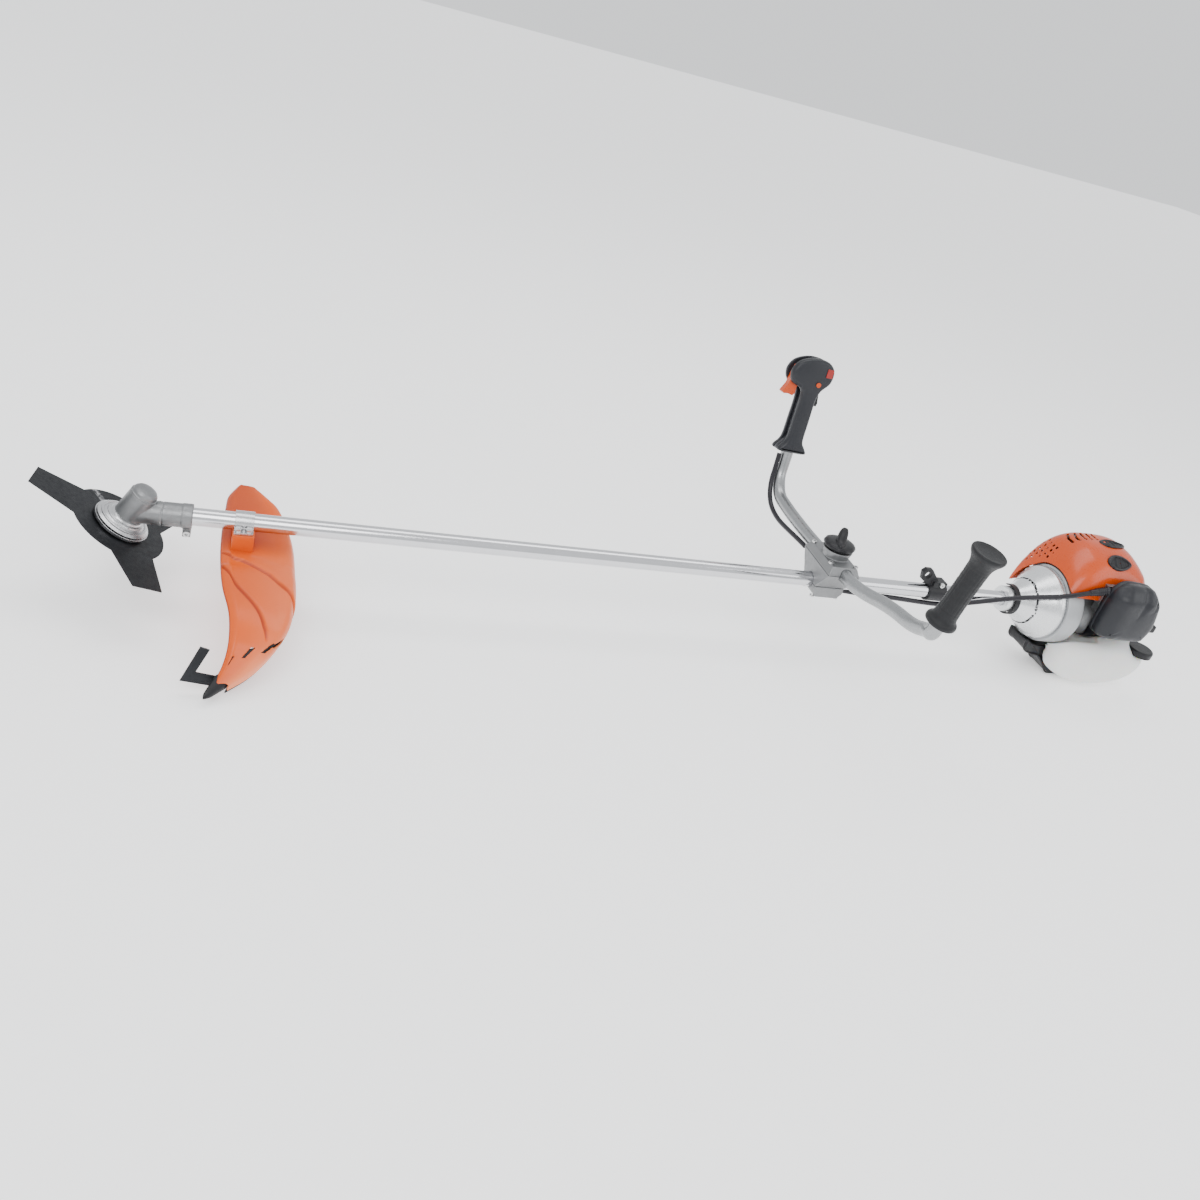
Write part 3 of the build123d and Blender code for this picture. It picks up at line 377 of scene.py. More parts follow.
def guard_profile(row):
    """The sheet across one row: front rib, rising field, shoulder and rear skirt."""
    b, front, rear, low, high = row
    wide, rise = rear - front, high - low
    skirt = min(16, wide * 0.4)
    return [(front, low - 5), (front + 0.5, low - 1.5), (front + 0.06 * wide, low + 0.06 * rise + 1.6),
            (front + 0.12 * wide, low + 0.12 * rise + 1.8), (front + 0.32 * wide, low + 0.32 * rise + 3.0),
            (front + 0.5 * wide, low + 0.5 * rise + 3.8), (front + 0.69 * wide, low + 0.69 * rise + 3.8),
            (rear - 0.14 * wide, high + 0.6), (rear - 1.6, high - 0.35 * skirt), (rear + 0.6, high - skirt)]


GUARD_FOLDS = [[(-56, 0.03), (-75, 0.18), (-93, 0.30), (-130, 0.43), (-165, 0.57), (-184, 0.68)],
               [(-30, 0.06), (-42, 0.25), (-50, 0.40), (-72, 0.60), (-98, 0.74), (-125, 0.90), (-142, 0.985)]]
GUARD_SLOTS = [(203, 0.30, 3.5), (195, 0.52, 5), (188, 0.76, 6), (179, 0.84, 6), (168, 0.91, 5.5)]
GUARD_WALL = 2.3


def folds_at(b, share):
    """Rise of the sheet behind the two folds in mm, and how near the point is to a crease.

    A fold is a line of (side, share of the sheet's width).
    """
    rise = near = 0.0
    for fold in GUARD_FOLDS:
        if fold[-1][0] <= b <= fold[0][0]:
            k = next(i for i in range(len(fold) - 1) if fold[i][0] >= b >= fold[i + 1][0])
            (b0, s0), (b1, s1) = fold[k], fold[k + 1]
            line = s0 + (s1 - s0) * (b0 - b) / (b0 - b1)
            ends = min(1, (fold[0][0] - b) / 8, (b - fold[-1][0]) / 12)
            step = min(1, max(0, (share - line) / 0.03 + 0.5))
            fade = min(1, max(0, (line + 0.45 - share) / 0.4))
            rise += 3.0 * ends * step * step * (3 - 2 * step) * fade
            slant = abs(s1 - s0) / (b0 - b1) * 60
            near = max(near, min(1, ends * 2) * math.exp(-((share - line) / (0.011 * (1 + slant))) ** 2))
    return rise, near


def guard_painted_light(b, share, near):
    """Painted light and shade on the moulding: painted shade in the rib, the creases and round the tube, painted
    highlight in the rear skirt, the rising field and the tip.
    """
    skirt = 0.75 * eased((share - 0.80) / 0.2)
    field = 0.30 * eased((share - 0.3) / 0.5)
    tip = 0.5 * eased((-186 - b) / 20) * eased((share - 0.5) / 0.3)
    rib = 0.75 * eased((0.10 - share) / 0.05)
    by_tube = 0.45 * eased((b + 40) / 46) * eased((0.85 - share) / 0.3)
    return max(-1.0, min(1.0, skirt + field + tip - 1.3 * (rib + 0.9 * near + by_tube)))


def make_guard():
    """The guard's sheet, with its slots cut and its painted light and shade set point by point in the tone
    attribute.
    """
    rows, across = 230, 130
    verts, sides, painted_light_and_shade = [], [], []
    for i in range(rows):
        row = catmull(GUARD_ROWS, i / (rows - 1) * (len(GUARD_ROWS) - 1))
        profile = guard_profile(row)
        sides.append(row[0])
        for j in range(across):
            share = j / (across - 1)
            a, h = catmull(profile, share * (len(profile) - 1))
            rise, near = folds_at(row[0], share)
            verts.append(head(a, row[0], h + rise - 0.7 * near))
            # painted light and shade for each point, kept in the tone attribute
            painted_light_and_shade.append(guard_painted_light(row[0], share, near))
    faces = []
    for face in grid_faces(rows, across):
        i, j = divmod(face[0], across)
        if not in_slot(sides[i], j / (across - 1)):
            faces.append(face)
    obj = mesh_object("guard_sheet", verts, faces)
    obj.data.attributes.new("tone", "FLOAT", "POINT").data.foreach_set("value", painted_light_and_shade)
    thicken(obj, GUARD_WALL)
    outward(obj)
    return obj


def in_slot(b, share):
    """Whether a point of the sheet is in one of the slots, which are (side, share, half length)."""
    return any(abs(b + slot_b) < half and abs(share - slot_share - 0.006 * (b + slot_b)) < 0.03
               for slot_b, slot_share, half in GUARD_SLOTS)


def sheet_point(b, share, drop):
    """A point under the guard's sheet, by side position and share of its width."""
    low, high = 0.0, len(GUARD_ROWS) - 1.0
    for _ in range(30):
        middle = (low + high) / 2
        low, high = (middle, high) if catmull(GUARD_ROWS, middle)[0] > b else (low, middle)
    profile = guard_profile(catmull(GUARD_ROWS, low))
    a, h = catmull(profile, share * (len(profile) - 1))
    return head(a, b, h - drop)


def make_slot_shade_backing():
    """Black strip under the guard's slots: a dark backing as painted shade, standing in for the shadow seen
    through them, in the edge lip's finish.
    """
    line = [(b, share) for b, share, _ in sorted(GUARD_SLOTS)]
    start, end, wide, drop = 158, 212, 0.32, 4.4
    rows, across = 60, 12
    verts = []
    for i in range(rows):
        b = start + (end - start) * i / (rows - 1)
        middle = level_at(line, b)
        for j in range(across):
            verts.append(sheet_point(-b, min(0.985, middle + (j / (across - 1) - 0.5) * wide), drop))
    return thicken(mesh_object("guard_slot_shade_backing", verts, grid_faces(rows, across)), 1.2)


def outward(obj):
    """Makes all faces look outward."""
    work = bmesh.new()
    work.from_mesh(obj.data)
    bmesh.ops.recalc_face_normals(work, faces=work.faces)
    work.to_mesh(obj.data)
    work.free()


# ---- moulded covers ----
def resampled(points, count, closed=False):
    """Evenly spaced points on the smooth line through the given ones."""
    loop = points + points[:3] if closed else points
    first = 1 if closed else 0
    dense = []
    spans = len(points) if closed else len(points) - 1
    for k in range(spans * 40 + 1):
        dense.append(catmull(loop if not closed else [points[-1]] + loop, first + k / 40))
    run = [0.0]
    for p, q in zip(dense, dense[1:]):
        run.append(run[-1] + math.dist(p, q))
    out, k = [], 0
    steps = count if closed else count - 1
    for i in range(count):
        goal = run[-1] * i / steps
        while k < len(run) - 2 and run[k + 1] < goal:
            k += 1
        t = (goal - run[k]) / max(run[k + 1] - run[k], 1e-9)
        out.append([p + (q - p) * t for p, q in zip(dense[k], dense[k + 1])])
    return out


def level_at(line, x):
    """Height of an open outline, given left to right, at x."""
    for (x0, z0), (x1, z1) in zip(line, line[1:]):
        if x0 <= x <= x1 and x1 > x0:
            return z0 + (z1 - z0) * (x - x0) / (x1 - x0)
    return line[0][1] if x < line[0][0] else line[-1][1]


def thicken(obj, wall):
    """Gives a sheet a wall, in mm, behind its face."""
    skin = obj.modifiers.new("wall", "SOLIDIFY")
    skin.thickness = wall * MM
    skin.offset = -1
    skin.use_even_offset = False
    return applied(obj)


HOOD_HIGH = 128
HOOD_TOP = [(1550, 4), (1553, 22), (1558, 44), (1567, 70), (1580, 96), (1598, 115), (1622, 125.5),
            (1655, HOOD_HIGH), (1690, 127), (1716, 120), (1737, 102), (1750, 76), (1757, 44), (1759, 8)]
HOOD_ACROSS = [(-56, 0), (-56, 40), (-55, 72), (-46, 97), (-28, 114), (0, 125), (26, HOOD_HIGH),
               (48, 127), (66, 119), (77, 102), (80, 72), (80, 36), (80, 0)]
HOOD_MIDDLE = 12
HOOD_WALL = 2.4
HOOD_GRID = 150


def hood_relief(x, y, z):
    """Sideways shift of the hood's skin: swollen near side, swept shoulder line and a scoop over the fan."""
    swell = eased((x - 1610) / 60) * eased((30 - y) / 50) * eased((z - 30) / 30) * eased((100 - z) / 30)
    ridge = math.exp(-((z - 60 - 0.42 * (x - 1650)) / 7) ** 2) * eased((x - 1600) / 40) * eased((10 - y) / 30)
    scoop = math.exp(-((x - 1622) / 20) ** 2 - ((z - 22) / 17) ** 2) * eased((-30 - y) / 16)
    return 3.0 * swell - 1.4 * ridge + 5.0 * scoop


def make_hood():
    """Domed hood with a grille of small holes, crescent slots on top and a round cut for the fan case."""
    line = resampled([list(p) for p in HOOD_TOP], HOOD_GRID)
    ring = resampled([list(p) for p in HOOD_ACROSS], HOOD_GRID)
    verts, where = [], []
    for x, top in line:
        k = top / HOOD_HIGH
        narrow = 1 - 0.10 * (1 - k) ** 2
        limit = 70 + 5.2 * eased((x - 1559) / 8) - 14 * eased((x - 1672) / 12)
        for y, z in ring:
            yy = HOOD_MIDDLE + (y - HOOD_MIDDLE) * narrow
            zz = z * k
            yy += hood_relief(x, yy, zz)
            reach = math.hypot(yy, zz)
            cut = reach < limit
            if cut:
                yy, zz = yy * limit / max(reach, 1), zz * limit / max(reach, 1)
            verts.append(at(x, yy, zz))
            where.append((x, yy, zz, cut))
    faces = []
    for face in grid_faces(HOOD_GRID, HOOD_GRID):
        spots = [where[v] for v in face]
        if all(spot[3] for spot in spots):
            continue
        x, y, z = (sum(spot[i] for spot in spots) / 4 for i in range(3))
        if z < 1 or hood_hole(x, y, z):
            continue
        faces.append(face)
    obj = mesh_object("hood", verts, faces)
    relaxed(obj, 0.5, 2)
    return thicken(obj, HOOD_WALL)


def hood_hole(x, y, z):
    """Whether a point of the hood is in the grille or in one of the five crescent slots."""
    if x < 1594 and 8 < z < 104 and math.hypot(y, z) > 84:
        pitch = 9.5
        along, over = (z - 8) % pitch, (y + 50 + 4.7 * ((z - 8) // pitch)) % pitch
        return 2.6 < along < 6.6 and 2.6 < over < 6.6 and y > 30
    for k in range(5):
        if abs(y - 42) < 15 and abs(x - 1600 - 12.5 * k - 0.022 * (y - 34) ** 2) < 2.3 and z > 100:
            return True
    return False


def make_vent(name, middle, lean, long, wide):
    """Leaf-shaped vent: a raised rim round a sunk field with slats."""
    outer, around = 15, 96
    verts = []
    for i in range(outer + 1):
        k = 1 - i / outer
        for j in range(around):
            angle = 2 * math.pi * j / around
            c, q = math.cos(angle), math.sin(angle)
            u = long * k * c
            v = wide * k * q * (1 - 0.28 * c) * (1 - 0.25 * abs(c) ** 3)
            rise = 3.4 * eased((1 - k) / 0.10) - 3.2 * eased((1 - k - 0.16) / 0.08)
            if k < 0.74:
                rise += 1.3 * max(0, math.sin(u / 1.9)) * eased((0.76 - k) / 0.1)
            y = middle[1] + v * math.cos(lean) + (rise - 0.6) * -math.sin(lean)
            z = middle[2] + v * math.sin(lean) + (rise - 0.6) * math.cos(lean)
            verts.append(at(middle[0] + u, y, z - 0.0022 * u * u * (1 if u > 0 else 0.4)))
    faces = grid_faces(outer, around, closed=True)
    return thicken(mesh_object(name, verts, faces), -1.6)


def pillow(name, outline, layers, count, sculpt):
    """Closed moulding: an outline in X and Z carried through layers of (y, inset in mm).

    An inset of 100 or more shrinks the outline to its middle instead, by 1 % for each step over 100.
    """
    ring = resampled([list(p) for p in outline], count, closed=True)
    cx = sum(p[0] for p in ring) / count
    cz = sum(p[1] for p in ring) / count
    area = sum(ring[i - 1][0] * ring[i][1] - ring[i][0] * ring[i - 1][1] for i in range(count))
    hand = math.copysign(1, area)
    verts = []
    for y, inset in layers:
        for i, (x, z) in enumerate(ring):
            (x0, z0), (x1, z1) = ring[i - 1], ring[(i + 1) % count]
            run = math.hypot(x1 - x0, z1 - z0) * hand
            nx, nz = (z1 - z0) / run, (x0 - x1) / run
            if inset < 100:
                p = (x - nx * inset, y, z - nz * inset)
            else:
                k = (200 - inset) / 100
                p = (cx + (x - cx) * k, y, cz + (z - cz) * k)
            verts.append(at(*sculpt(*p)))
    obj = mesh_object(name, verts, tube_faces(len(layers), count))
    outward(obj)
    return obj


HANDLE_LOW = Vector((1091, 249, 124))
HANDLE_UP = Vector((5, 19, 116)).normalized()
HANDLE_SIDE = HANDLE_UP.cross(Vector((-1, 0, 0))).normalized()
HANDLE_FRONT = HANDLE_SIDE.cross(HANDLE_UP)
HANDLE_RING = [(-27, 1), (0, 0), (26, 1), (28, 8), (20, 18), (16.5, 30), (16, 60), (16, 100), (21, 120),
               (42, 129), (49, 148), (41, 166), (24, 176), (2, 180), (-22, 176), (-35, 162), (-34, 140),
               (-20, 122), (-15.5, 104), (-16, 60), (-17, 26), (-24, 14), (-29, 7)]
HANDLE_CORE = [(-26, 1), (0, 0.4), (25, 1), (27, 8), (19, 18), (12, 32), (12, 60), (12, 96), (11.5, 120),
               (17, 150), (22, 170), (2, 179), (-20, 175), (-27, 166), (-22, 142), (-5, 134), (-4, 118),
               (-10, 108), (-11, 92), (-15, 80), (-16, 60), (-16.6, 26), (-23.6, 14), (-28.6, 7)]
HANDLE_CROWN = [(7.1, 1.2), (7.3, 0.3), (9, 0), (12.2, 0.2), (15, 1.2), (16.9, 2.7), (18, 4.4), (18.5, 6.2)]
HANDLE_POINTS = 220


def handle_place(u, v, w):
    """From the handle's own side view (forward, sideways, up) to mm from the gear head."""
    return HANDLE_LOW + HANDLE_FRONT * u + HANDLE_SIDE * v + HANDLE_UP * w


def make_handle():
    """Two crowned half shells with a seam, and the core that leaves room for trigger and lever."""
    for side, name in ((1, "handle_shell_left"), (-1, "handle_shell_right")):
        layers = [(side * v, inset) for v, inset in HANDLE_CROWN]
        half = pillow(name + "_form", HANDLE_RING, layers, HANDLE_POINTS, handle_place)
        stand_in(half, name)
    layers = [(-7.4, 0.5), (-7.2, 0.1), (7.2, 0.1), (7.4, 0.5)]
    core = pillow("handle_core", HANDLE_CORE, layers, HANDLE_POINTS, handle_place)
    finish_piece(core, "handle_shell_left")


FILTER_RING = [(1630, 14), (1634, -2), (1648, -7.6), (1690, -8), (1722, -7), (1732, 6), (1738, 30),
               (1733, 58), (1725, 84), (1712, 98), (1685, 102), (1656, 102), (1640, 92), (1632, 74),
               (1629.6, 44)]
FILTER_LAYERS = [(-66.8, 3.0), (-67, 0.6), (-68.5, 0), (-74, 0), (-75, 0.9), (-76, 0), (-90, 0.3), (-97, 1.2),
                 (-102.5, 2.9), (-106.5, 5.3), (-109.4, 8.4), (-111.2, 12), (-112, 16.5), (-112, 137),
                 (-112, 155), (-112, 175), (-112, 192)]


def filter_sculpt(x, y, z):
    """Face of the filter cover: a valley, a swept shoulder, a drawn-in left flank and the latch notch."""
    face = eased((-80 - y) / 22)
    valley = math.exp(-((x - 1682 - 0.16 * (z - 46)) / 6) ** 2) * eased((z - 26) / 60)
    ridge = math.exp(-((x - 1694 - 0.16 * (z - 46)) / 5) ** 2) * eased((z - 34) / 50)
    shoulder = eased((z - 76) / 18) * 8
    flank = eased((1658 - x) / 26) * 6
    notch = math.exp(-((x - 1716) / 5) ** 2 - ((z - 78) / 6) ** 2) * 7
    crown = -2.2 * math.exp(-((x - 1702) / 26) ** 2 - ((z - 36) / 34) ** 2)
    return (x, y + face * (2.8 * valley - 1.4 * ridge + shoulder + flank + notch + crown + 2.4), z)


def make_filter_cover():
    return pillow("filter_cover_form", FILTER_RING, FILTER_LAYERS, 170, filter_sculpt)


TANK_START, TANK_END = 1597, 1805
TANK_TOP = [(TANK_START, -66), (1602, -50), (1614, -39), (1640, -34), (1700, -34), (1752, -35), (1789, -43),
            (TANK_END, -64)]
TANK_LOW = [(TANK_START, -72), (1601, -92), (1614, -112), (1638, -127), (1670, -136), (1700, -138),
            (1744, -133), (1778, -118), (1799, -94), (TANK_END, -74)]
TANK_RING = [(60, -32), (73, -48), (76, -72), (73, -104), (58, -130), (20, -138), (-30, -138), (-62, -132),
             (-84, -112), (-92.5, -82), (-88, -56), (-74, -40), (-50, -32), (0, -31)]
TANK_MIDDLE = -8
TANK_SEAM = -84
TANK_SIDES = (-92.9, 75.9)
FOOT_ROOM = (-34, 26)
FAN_CLEAR = 75.4


def make_tank():
    """Pillow-shaped tank, hollowed on top for the fan case and in front for the foot, with a moulded seam."""
    stations, around = 80, 132
    ring = resampled([list(p) for p in TANK_RING], around, closed=True)
    top = resampled([list(p) for p in TANK_TOP], 160)
    low = resampled([list(p) for p in TANK_LOW], 160)
    verts = []
    for i in range(stations):
        x = TANK_START + (TANK_END - TANK_START) * (0.5 - 0.5 * math.cos(math.pi * i / (stations - 1)))
        above, below = level_at(top, x), level_at(low, x)
        k = (above - below) / 104
        wide = min(1, max(0.05, k)) ** 0.34
        limit = FAN_CLEAR - 16.5 * eased((x - 1674) / 8)
        for y, z in ring:
            yy = TANK_MIDDLE + (y - TANK_MIDDLE) * wide
            yy += math.exp(-((z - TANK_SEAM) / 1.6) ** 2) * 0.8 * (1 if y > TANK_MIDDLE else -1)
            zz = (above + below) / 2 + (z + 85) * k * 0.985
            if math.hypot(yy, zz) < limit:
                zz = -math.sqrt(limit ** 2 - yy ** 2)
            near, far = FOOT_ROOM
            if near < yy < far:
                x_here = max(x, foot_front(zz) * min(1, eased((yy - near) / 2), eased((far - yy) / 2)))
            else:
                x_here = x
            verts.append(at(x_here, max(TANK_SIDES[0], min(TANK_SIDES[1], yy)), zz))
    obj = mesh_object("tank_shell", verts, tube_faces(stations, around))
    outward(obj)
    relaxed(obj, 0.4, 2)
    return applied(obj)


def foot_front(z):
    """Where the tank's front wall stands behind the foot, by height."""
    return level_at([(-150, 1676), (-139, 1674), (-123, 1646), (-99, 1626), (-50, 1620), (0, 1620)], z)


FOOT_RING = [(1556, -84), (1557, -68), (1572, -74), (1596, -77), (1616, -78), (1621, -88), (1626, -102),
             (1644, -124), (1662, -135), (1672, -139.6), (1654, -139.8), (1638, -139.6), (1628, -131),
             (1617, -120), (1600, -105), (1588, -100), (1574, -98), (1562, -93)]
FOOT_LAYERS = [(-29, 180), (-30, 150), (-31, 120), (-31.6, 4), (-31.9, 1.8), (-31, 0.6), (-29, 0), (-27, 0),
               (-25.5, 1.2), (-24, 1.6), (16, 1.6), (17.5, 1.2), (19, 0), (21, 0), (23, 0.6), (23.9, 1.8),
               (23.6, 4), (23, 120), (22, 150), (21, 180)]
FOOT_CLEAR = 74.6


def foot_sculpt(x, y, z):
    """Hollows the foot's top to the round of the fan case."""
    if math.hypot(y, z) < FOOT_CLEAR and x < 1641:
        z = -math.sqrt(FOOT_CLEAR ** 2 - y * y)
    return (x, y, z)


def make_foot():
    return pillow("foot_form", FOOT_RING, FOOT_LAYERS, 130, foot_sculpt)


def make_lip():
    """Black strip under the rear skirt, running to the tip."""
    rows = 90
    verts = []
    sections = GUARD_ROWS[2:]
    for i in range(rows):
        b, front, rear, low, high = catmull(sections, i / (rows - 1) * (len(sections) - 1))
        skirt = min(16, (rear - front) * 0.4)
        deep = 14 if b > -190 else 14 - 7 * min(1, (-190 - b) / 14)
        edge, top = rear + 0.6, high - skirt + 3
        foot = top - deep - 2.4
        ring = [(edge - 1.9, top), (edge + 0.5, top), (edge + 1.4, top - 3), (edge + 1.9, top - 0.6 * deep),
                (edge + 2.1, foot), (edge + 0.9, foot - 0.6), (edge - 0.6, foot), (edge - 1.6, top - 4)]
        verts += [head(a, b, h) for a, h in ring]
    obj = mesh_object("guard_lip_strip", verts, tube_faces(rows, 8))
    sub = obj.modifiers.new("sub", "SUBSURF")
    sub.levels = sub.render_levels = 1
    return applied(obj)


def squared(angle, power):
    """A point on a unit circle, squared off by a power below 1."""
    c, q = math.cos(angle), math.sin(angle)
    return math.copysign(abs(c) ** power, c), math.copysign(abs(q) ** power, q)


def make_tip_cap():
    """Black boot over the guard's tip, drawn out to a blunt point."""
    stations, around = 26, 28
    verts = []
    for i in range(stations):
        t = i / (stations - 1)
        b = -212 - 27 * t
        a, h = 183 - 14 * t, -27 - 22 * t
        closing = min(1, math.sqrt(max(0, 1.02 - t) / 0.2)) * min(1, 0.9 + 2 * t)
        wide, thick = (13.5 - 9.5 * t) * closing, (8.5 - 5.0 * t) * closing
        for k in range(around):
            c, q = squared(2 * math.pi * k / around, 0.7)
            u, v = wide * c, thick * q
            verts.append(head(a + 0.96 * u - 0.28 * v, b, h + 0.28 * u + 0.96 * v))
    obj = mesh_object("guard_tip_cap", verts, tube_faces(stations, around))
    outward(obj)
    return obj


def make_boss():
    """The moulded block that joins the guard to the tube, with ribs on both sides."""
    outline = [(134, -7), (164, -7), (164, -33), (160, -39), (138, -39), (134, -33)]
    middle_x, middle_z = 149, -23
    layers = [(-28, 1.2), (-27, 0), (-9, 0), (-8, 1.0), (8, 1.0), (9, 0), (27, 0), (28, 1.2)]
    verts = []
    for y, inset in layers:
        k = 1 - inset / 18
        verts += [at(middle_x + (x - middle_x) * k, y, middle_z + (z - middle_z) * k) for x, z in outline]
    obj = mesh_object("guard_boss", verts, tube_faces(len(layers), len(outline)))
    edge = obj.modifiers.new("edge", "BEVEL")
    edge.width = 1.2 * MM
    edge.segments = 3
    edge.limit_method = "ANGLE"
    edge.angle_limit = math.radians(40)
    return applied(obj)


# ---- grips, knob, cables ----
def revolve(name, low, high, profile, turns=72, ripple=None):
    """Profile of (radius, height) in mm about the line from low to high."""
    axis = (high - low).normalized()
    side = axis.orthogonal().normalized()
    other = axis.cross(side)
    verts = []
    for r, h in profile:
        for k in range(turns):
            angle = 2 * math.pi * k / turns
            radius = r + (ripple(h, angle) if ripple else 0)
            outward_way = side * math.cos(angle) + other * math.sin(angle)
            verts.append(low + axis * h * MM + outward_way * radius * MM)
    return mesh_object(name, verts, tube_faces(len(profile), turns))


KNOB_X, KNOB_Z = 1102, 67
KNOB_TURN = math.radians(62)
KNOB_LONG = 50
KNOB_PROFILE = [(14, 0), (20, 0.4), (25, 1.8), (27.6, 4.4), (28, 7), (26.6, 9.8), (22, 12.2), (14, 13.6),
                (6, 14.2), (0.3, 14.4)]


def knob_rim(h, angle):
    """Twelve shallow scallops round the knob's rim."""
    return -0.9 * (0.5 + 0.5 * math.cos(12 * angle)) * eased((h - 1) / 2) * eased((11 - h) / 3)


def make_knob():
    """Disc with a scalloped rim and a peaked wing."""
    dish = revolve("knob_disc", at(KNOB_X, 0, 66.8), at(KNOB_X, 0, 90), KNOB_PROFILE, 120, knob_rim)
    stations, around = 34, 20
    verts = []
    for i in range(stations):
        u = KNOB_LONG * (i / (stations - 1) - 0.5)
        top = 14 + 19 * math.exp(-((u - 7) / 13) ** 2) + 3 * math.exp(-(u / 22) ** 2)
        wide = (6.4 + 2.2 * math.exp(-(u / 12) ** 2)) * math.sqrt(max(0.04, 1 - (u / 25.6) ** 4))
        for k in range(around):
            angle = 2 * math.pi * k / around
            v = wide * squared(angle, 0.6)[0] * (1 - 0.22 * max(0, math.sin(angle)))
            z = 8 + (top - 8) * (0.5 + 0.5 * squared(angle, 0.7)[1])
            x = u * math.cos(KNOB_TURN) - v * math.sin(KNOB_TURN)
            y = u * math.sin(KNOB_TURN) + v * math.cos(KNOB_TURN)
            verts.append(at(KNOB_X + x, y, KNOB_Z + z))
    wing = mesh_object("knob_wing", verts, tube_faces(stations, around))
    outward(wing)
    return dish, wing


def make_left_grip():
    """Ribbed and fluted rubber grip with a collar below and a flange on top."""
    low, high = at(1119, -277, 110), at(1130, -292, 240)
    long = (high - low).length / MM
    rough = [(12.2, -0.2), (20, 0), (23.6, 1.6), (24.4, 5), (23.4, 8.6), (20, 12.5), (18.4, 17), (17.7, 24),
             (17.1, 45), (17.0, 70), (17.3, long - 28), (18.4, long - 18), (21.5, long - 10),
             (25.2, long - 4), (26.8, long), (26.6, long + 3), (25, long + 4.2), (21, long + 3.4),
             (14, long + 1.6), (0.4, long + 0.8)]
    steps = 240
    profile = []
    for i in range(steps):
        r, h = catmull(rough, i / (steps - 1) * (len(rough) - 1))
        profile.append((max(r, 0.3), h))

    def ripple(h, angle):
        if not 24 < h < long - 24:
            return 0
        fade = min(1, (h - 24) / 5, (long - 24 - h) / 5)
        ring = 0.5 + 0.5 * math.cos(h / 4.2 * 2 * math.pi)
        flute = 0.5 + 0.5 * math.cos(18 * angle)
        return -fade * (0.55 * ring ** 4 + 0.35 * flute ** 4)

    return revolve("left_grip_form", low, high, profile, 144, ripple)


CABLE_R = 4.5


def make_cable(name, points):
    """A cable as one smooth curve with the route's points as its control points."""
    curve = bpy.data.curves.new(name, "CURVE")
    curve.dimensions = "3D"
    curve.bevel_depth = CABLE_R * MM
    curve.bevel_resolution = 6
    curve.resolution_u = 16
    curve.use_fill_caps = True
    spline = curve.splines.new("NURBS")
    spline.points.add(len(points) - 1)
    for p, q in zip(spline.points, points):
        p.co = (*at(*q), 1)
    spline.order_u = 3
    spline.use_endpoint_u = True
    obj = bpy.data.objects.new(name, curve)
    bpy.context.scene.collection.objects.link(obj)
    return obj


CABLE_LOWER = [(1082, 53, 27), (1090, 38, 14), (1100, 25, 0), (1113, 14, -13), (1134, 5, -19),
               (1166, 0, -19), (1206, -2, -19.5), (1252, -3, -20), (1302, -4, -22.5), (1350, -8, -22),
               (1394, -16, -9), (1434, -25, 7), (1474, -33, 22), (1514, -45.5, 36.5), (1554, -61, 52),
               (1590, -63.5, 64), (1622, -65, 73)]
CABLE_UPPER = [(1081, 62, 28.5), (1076, 88, 29), (1072, 122, 27), (1069, 158, 25.5), (1067.5, 190, 31),
               (1067, 212, 44), (1068, 228, 67), (1071, 236, 95), (1073, 243, 120)]


def make_cable_boot():
    """Ribbed rubber boot where the throttle cable enters the filter base."""
    profile = [(4.55, 0), (5.4, 0.6), (6.0, 3), (6.1, 12)]
    for k in range(5):
        profile += [(7.4, 13.5 + 4 * k), (7.4, 15 + 4 * k), (6.2, 16.2 + 4 * k), (6.2, 16.8 + 4 * k)]
    profile += [(8.2, 34), (8.2, 38), (0.3, 38.4)]
    return revolve("cable_boot", at(1598, -63.9, 66.3), at(1622, -65, 73), profile, 40)


STARTER_X, STARTER_Z = 1764, 8


def starter_point(y):
    return at(STARTER_X, y, STARTER_Z)


def cord_lay(h, angle):
    """The twist of the cord's three strands."""
    return 0.16 * math.cos(3 * angle + h * 1.9)


def make_starter_cord():
    """Laid cord from the housing eye to the grip, as a tube of rings with a three-strand twist."""
    profile = [(1.55, 0.2 * k) for k in range(81)]
    return revolve("starter_cord", starter_point(-54), starter_point(-70), profile, 24, cord_lay)


# ---- build ----
# CAD node, voxel in mm, rounds of smoothing, share of faces kept
SOFT_PLASTICS = [
    ("fuel_cap", 0.8, 4, 0.6), ("throttle_trigger", 0.6, 5, 0.6), ("throttle_lock_lever", 0.5, 4, 0.6),
    ("harness_clamp", 0.7, 4, 0.5),
]
SOFT_HOUSINGS = [
    ("bracket_body", 0.8, 5, 0.4), ("bracket_base", 0.8, 5, 0.4), ("bracket_cap", 0.8, 5, 0.4),
    ("gear_housing", 0.8, 6, 0.4), ("clutch_housing", 1.0, 4, 0.4), ("fan_housing", 1.2, 4, 0.4),
    ("crankcase", 1.3, 5, 0.4), ("starter_housing", 1.2, 4, 0.4), ("starter_grip", 0.7, 5, 0.6),
]

stand_in(make_guard(), "guard")
finish_piece(make_boss(), "guard")
stand_in(make_lip(), "guard_edge_lip")
finish_piece(make_tip_cap(), "guard_edge_lip")
# black strip behind the slots: painted shade seen through them
finish_piece(make_slot_shade_backing(), "guard_edge_lip")
stand_in(make_left_grip(), "left_grip")
make_handle()
for knob_piece in make_knob():
    stand_in(knob_piece, "clamp_knob")
stand_in(make_hood(), "top_cover")
stand_in(make_filter_cover(), "filter_cover")
stand_in(make_tank(), "fuel_tank")
stand_in(make_foot(), "tank_foot")
for softened in SOFT_PLASTICS:
    soften(*softened)
finish_piece(make_vent("vent_near", (1666, -30, 116), math.radians(40), 27, 14), "cover_vents")
stand_in(make_vent("vent_top", (1678, 17, 129.2), 0, 29, 12), "cover_vents")
for softened in SOFT_HOUSINGS:
    soften(*softened)

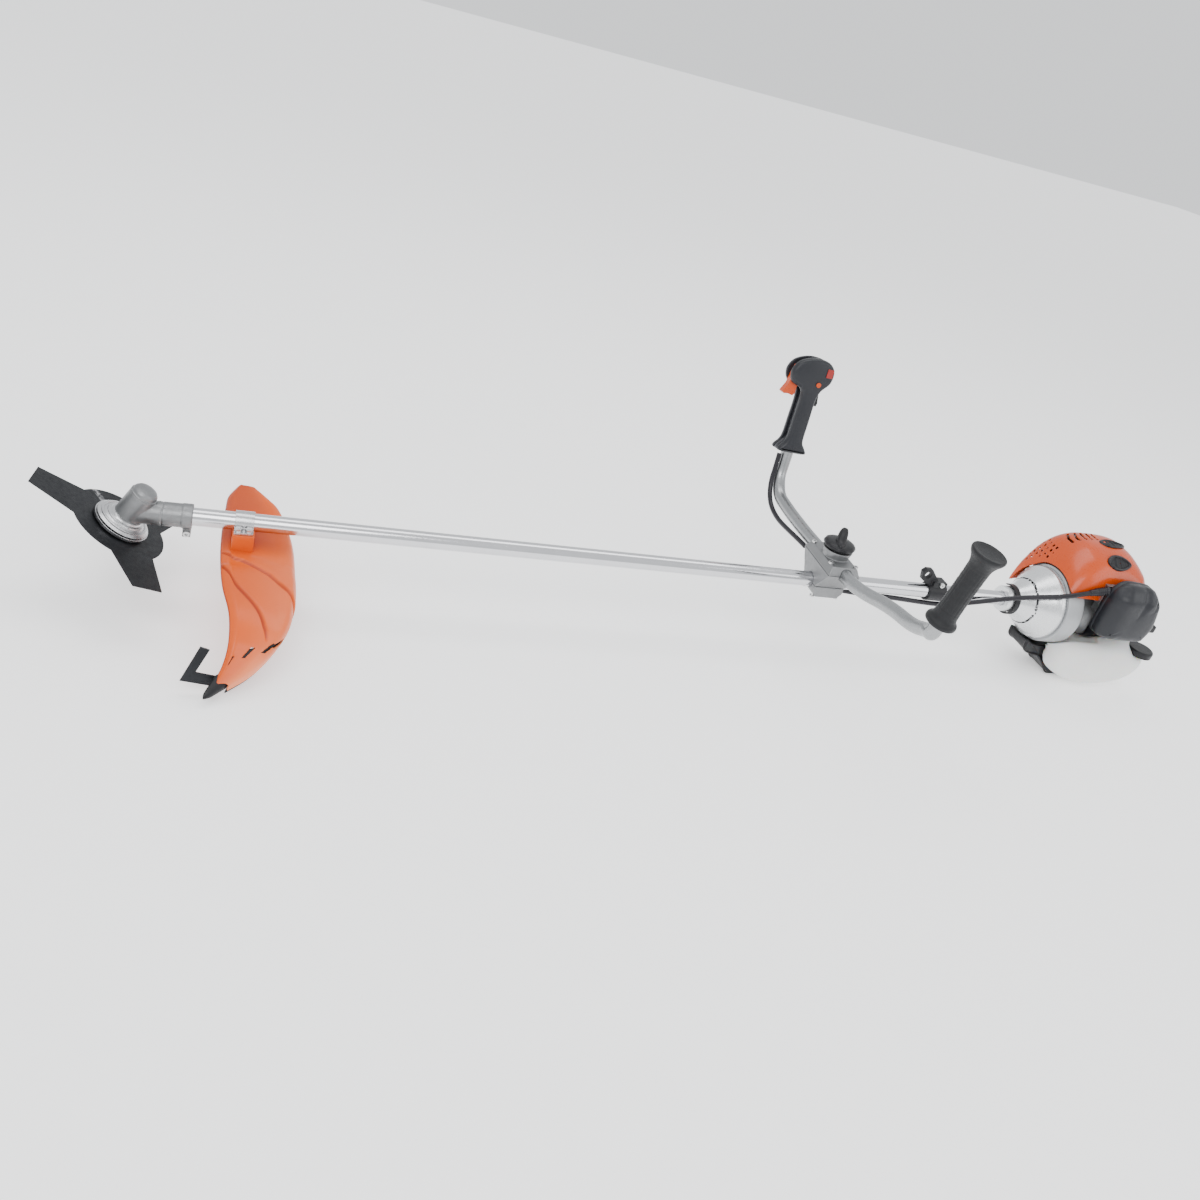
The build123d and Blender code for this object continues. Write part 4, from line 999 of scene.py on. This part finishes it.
stand_in(make_cable("throttle_cable_upper_line", CABLE_UPPER), "throttle_cable_upper")
stand_in(make_cable("throttle_cable_lower_line", CABLE_LOWER), "throttle_cable_lower")
finish_piece(make_cable_boot(), "throttle_cable_lower")
starter_cord = finish_piece(make_starter_cord(), "starter_grip", rides=False)
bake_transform(starter_cord)

bevel_nodes([name for name in frame["nodes"] if name not in replaced])

# ---- floor, light, camera ----
FLOOR_GAP = 0.0005
bpy.ops.mesh.primitive_plane_add(size=30, location=(0, 0, -FLOOR_GAP))
floor = bpy.context.object
floor.name = "floor"
floor.data.materials.append(surface("floor_paint", (0.93, 0.93, 0.93), 0.75, 0, 60, 0.02, 0.01, ior=1.2))
glow = floor.data.materials[0].node_tree.nodes["Principled BSDF"]
glow.inputs["Emission Color"].default_value = (1, 1, 1, 1)
glow.inputs["Emission Strength"].default_value = 0.55

world = bpy.data.worlds.new("studio")
bpy.context.scene.world = world
world.use_nodes = True
world.node_tree.nodes["Background"].inputs["Color"].default_value = (0.96, 0.98, 1.0, 1)
world.node_tree.nodes["Background"].inputs["Strength"].default_value = 1.15


def area(name, place, target, size, power):
    """A rectangular light at a place, turned to its target."""
    light = bpy.data.lights.new(name, "AREA")
    light.shape = "RECTANGLE"
    light.size, light.size_y = size
    light.energy = power
    obj = bpy.data.objects.new(name, light)
    bpy.context.scene.collection.objects.link(obj)
    obj.location = place
    obj.rotation_euler = (Vector(target) - Vector(place)).to_track_quat("-Z", "Y").to_euler()


area("key", (-1.2, -2.2, 2.6), (0, 0, 0.1), (2.6, 1.6), 62)
area("fill", (2.4, -1.6, 1.6), (0.2, 0, 0.1), (1.8, 1.8), 20)
area("top", (0, 0.6, 3.0), (0, 0, 0), (3.2, 1.2), 36)

# The camera, fitted to the photo: it looks along -back at a point above the shaft.
AZ, EL, ROLL = map(math.radians, (-21.8, 27.0, 16.64))
LOOK_AT = (629.3, -110.5, 115.9)
DISTANCE = 1.492
SENSOR, LENS, SHIFT = 36, 31.11, -0.060833
back = Vector((math.sin(AZ) * math.cos(EL), -math.cos(AZ) * math.cos(EL), math.sin(EL)))
level = (-back).cross(Vector((0, 0, 1))).normalized()
upright = level.cross(-back)
right = math.cos(ROLL) * level + math.sin(ROLL) * upright
up = -math.sin(ROLL) * level + math.cos(ROLL) * upright
camera = bpy.data.objects.new("camera", bpy.data.cameras.new("camera"))
bpy.context.scene.collection.objects.link(camera)
turn = Matrix((right, up, back)).transposed().to_4x4()
camera.matrix_world = Matrix.Translation(at(*LOOK_AT) + back * DISTANCE) @ turn
camera.data.sensor_width = SENSOR
camera.data.lens = LENS
camera.data.shift_y = SHIFT
camera.data.clip_start = 0.05
bpy.context.scene.camera = camera
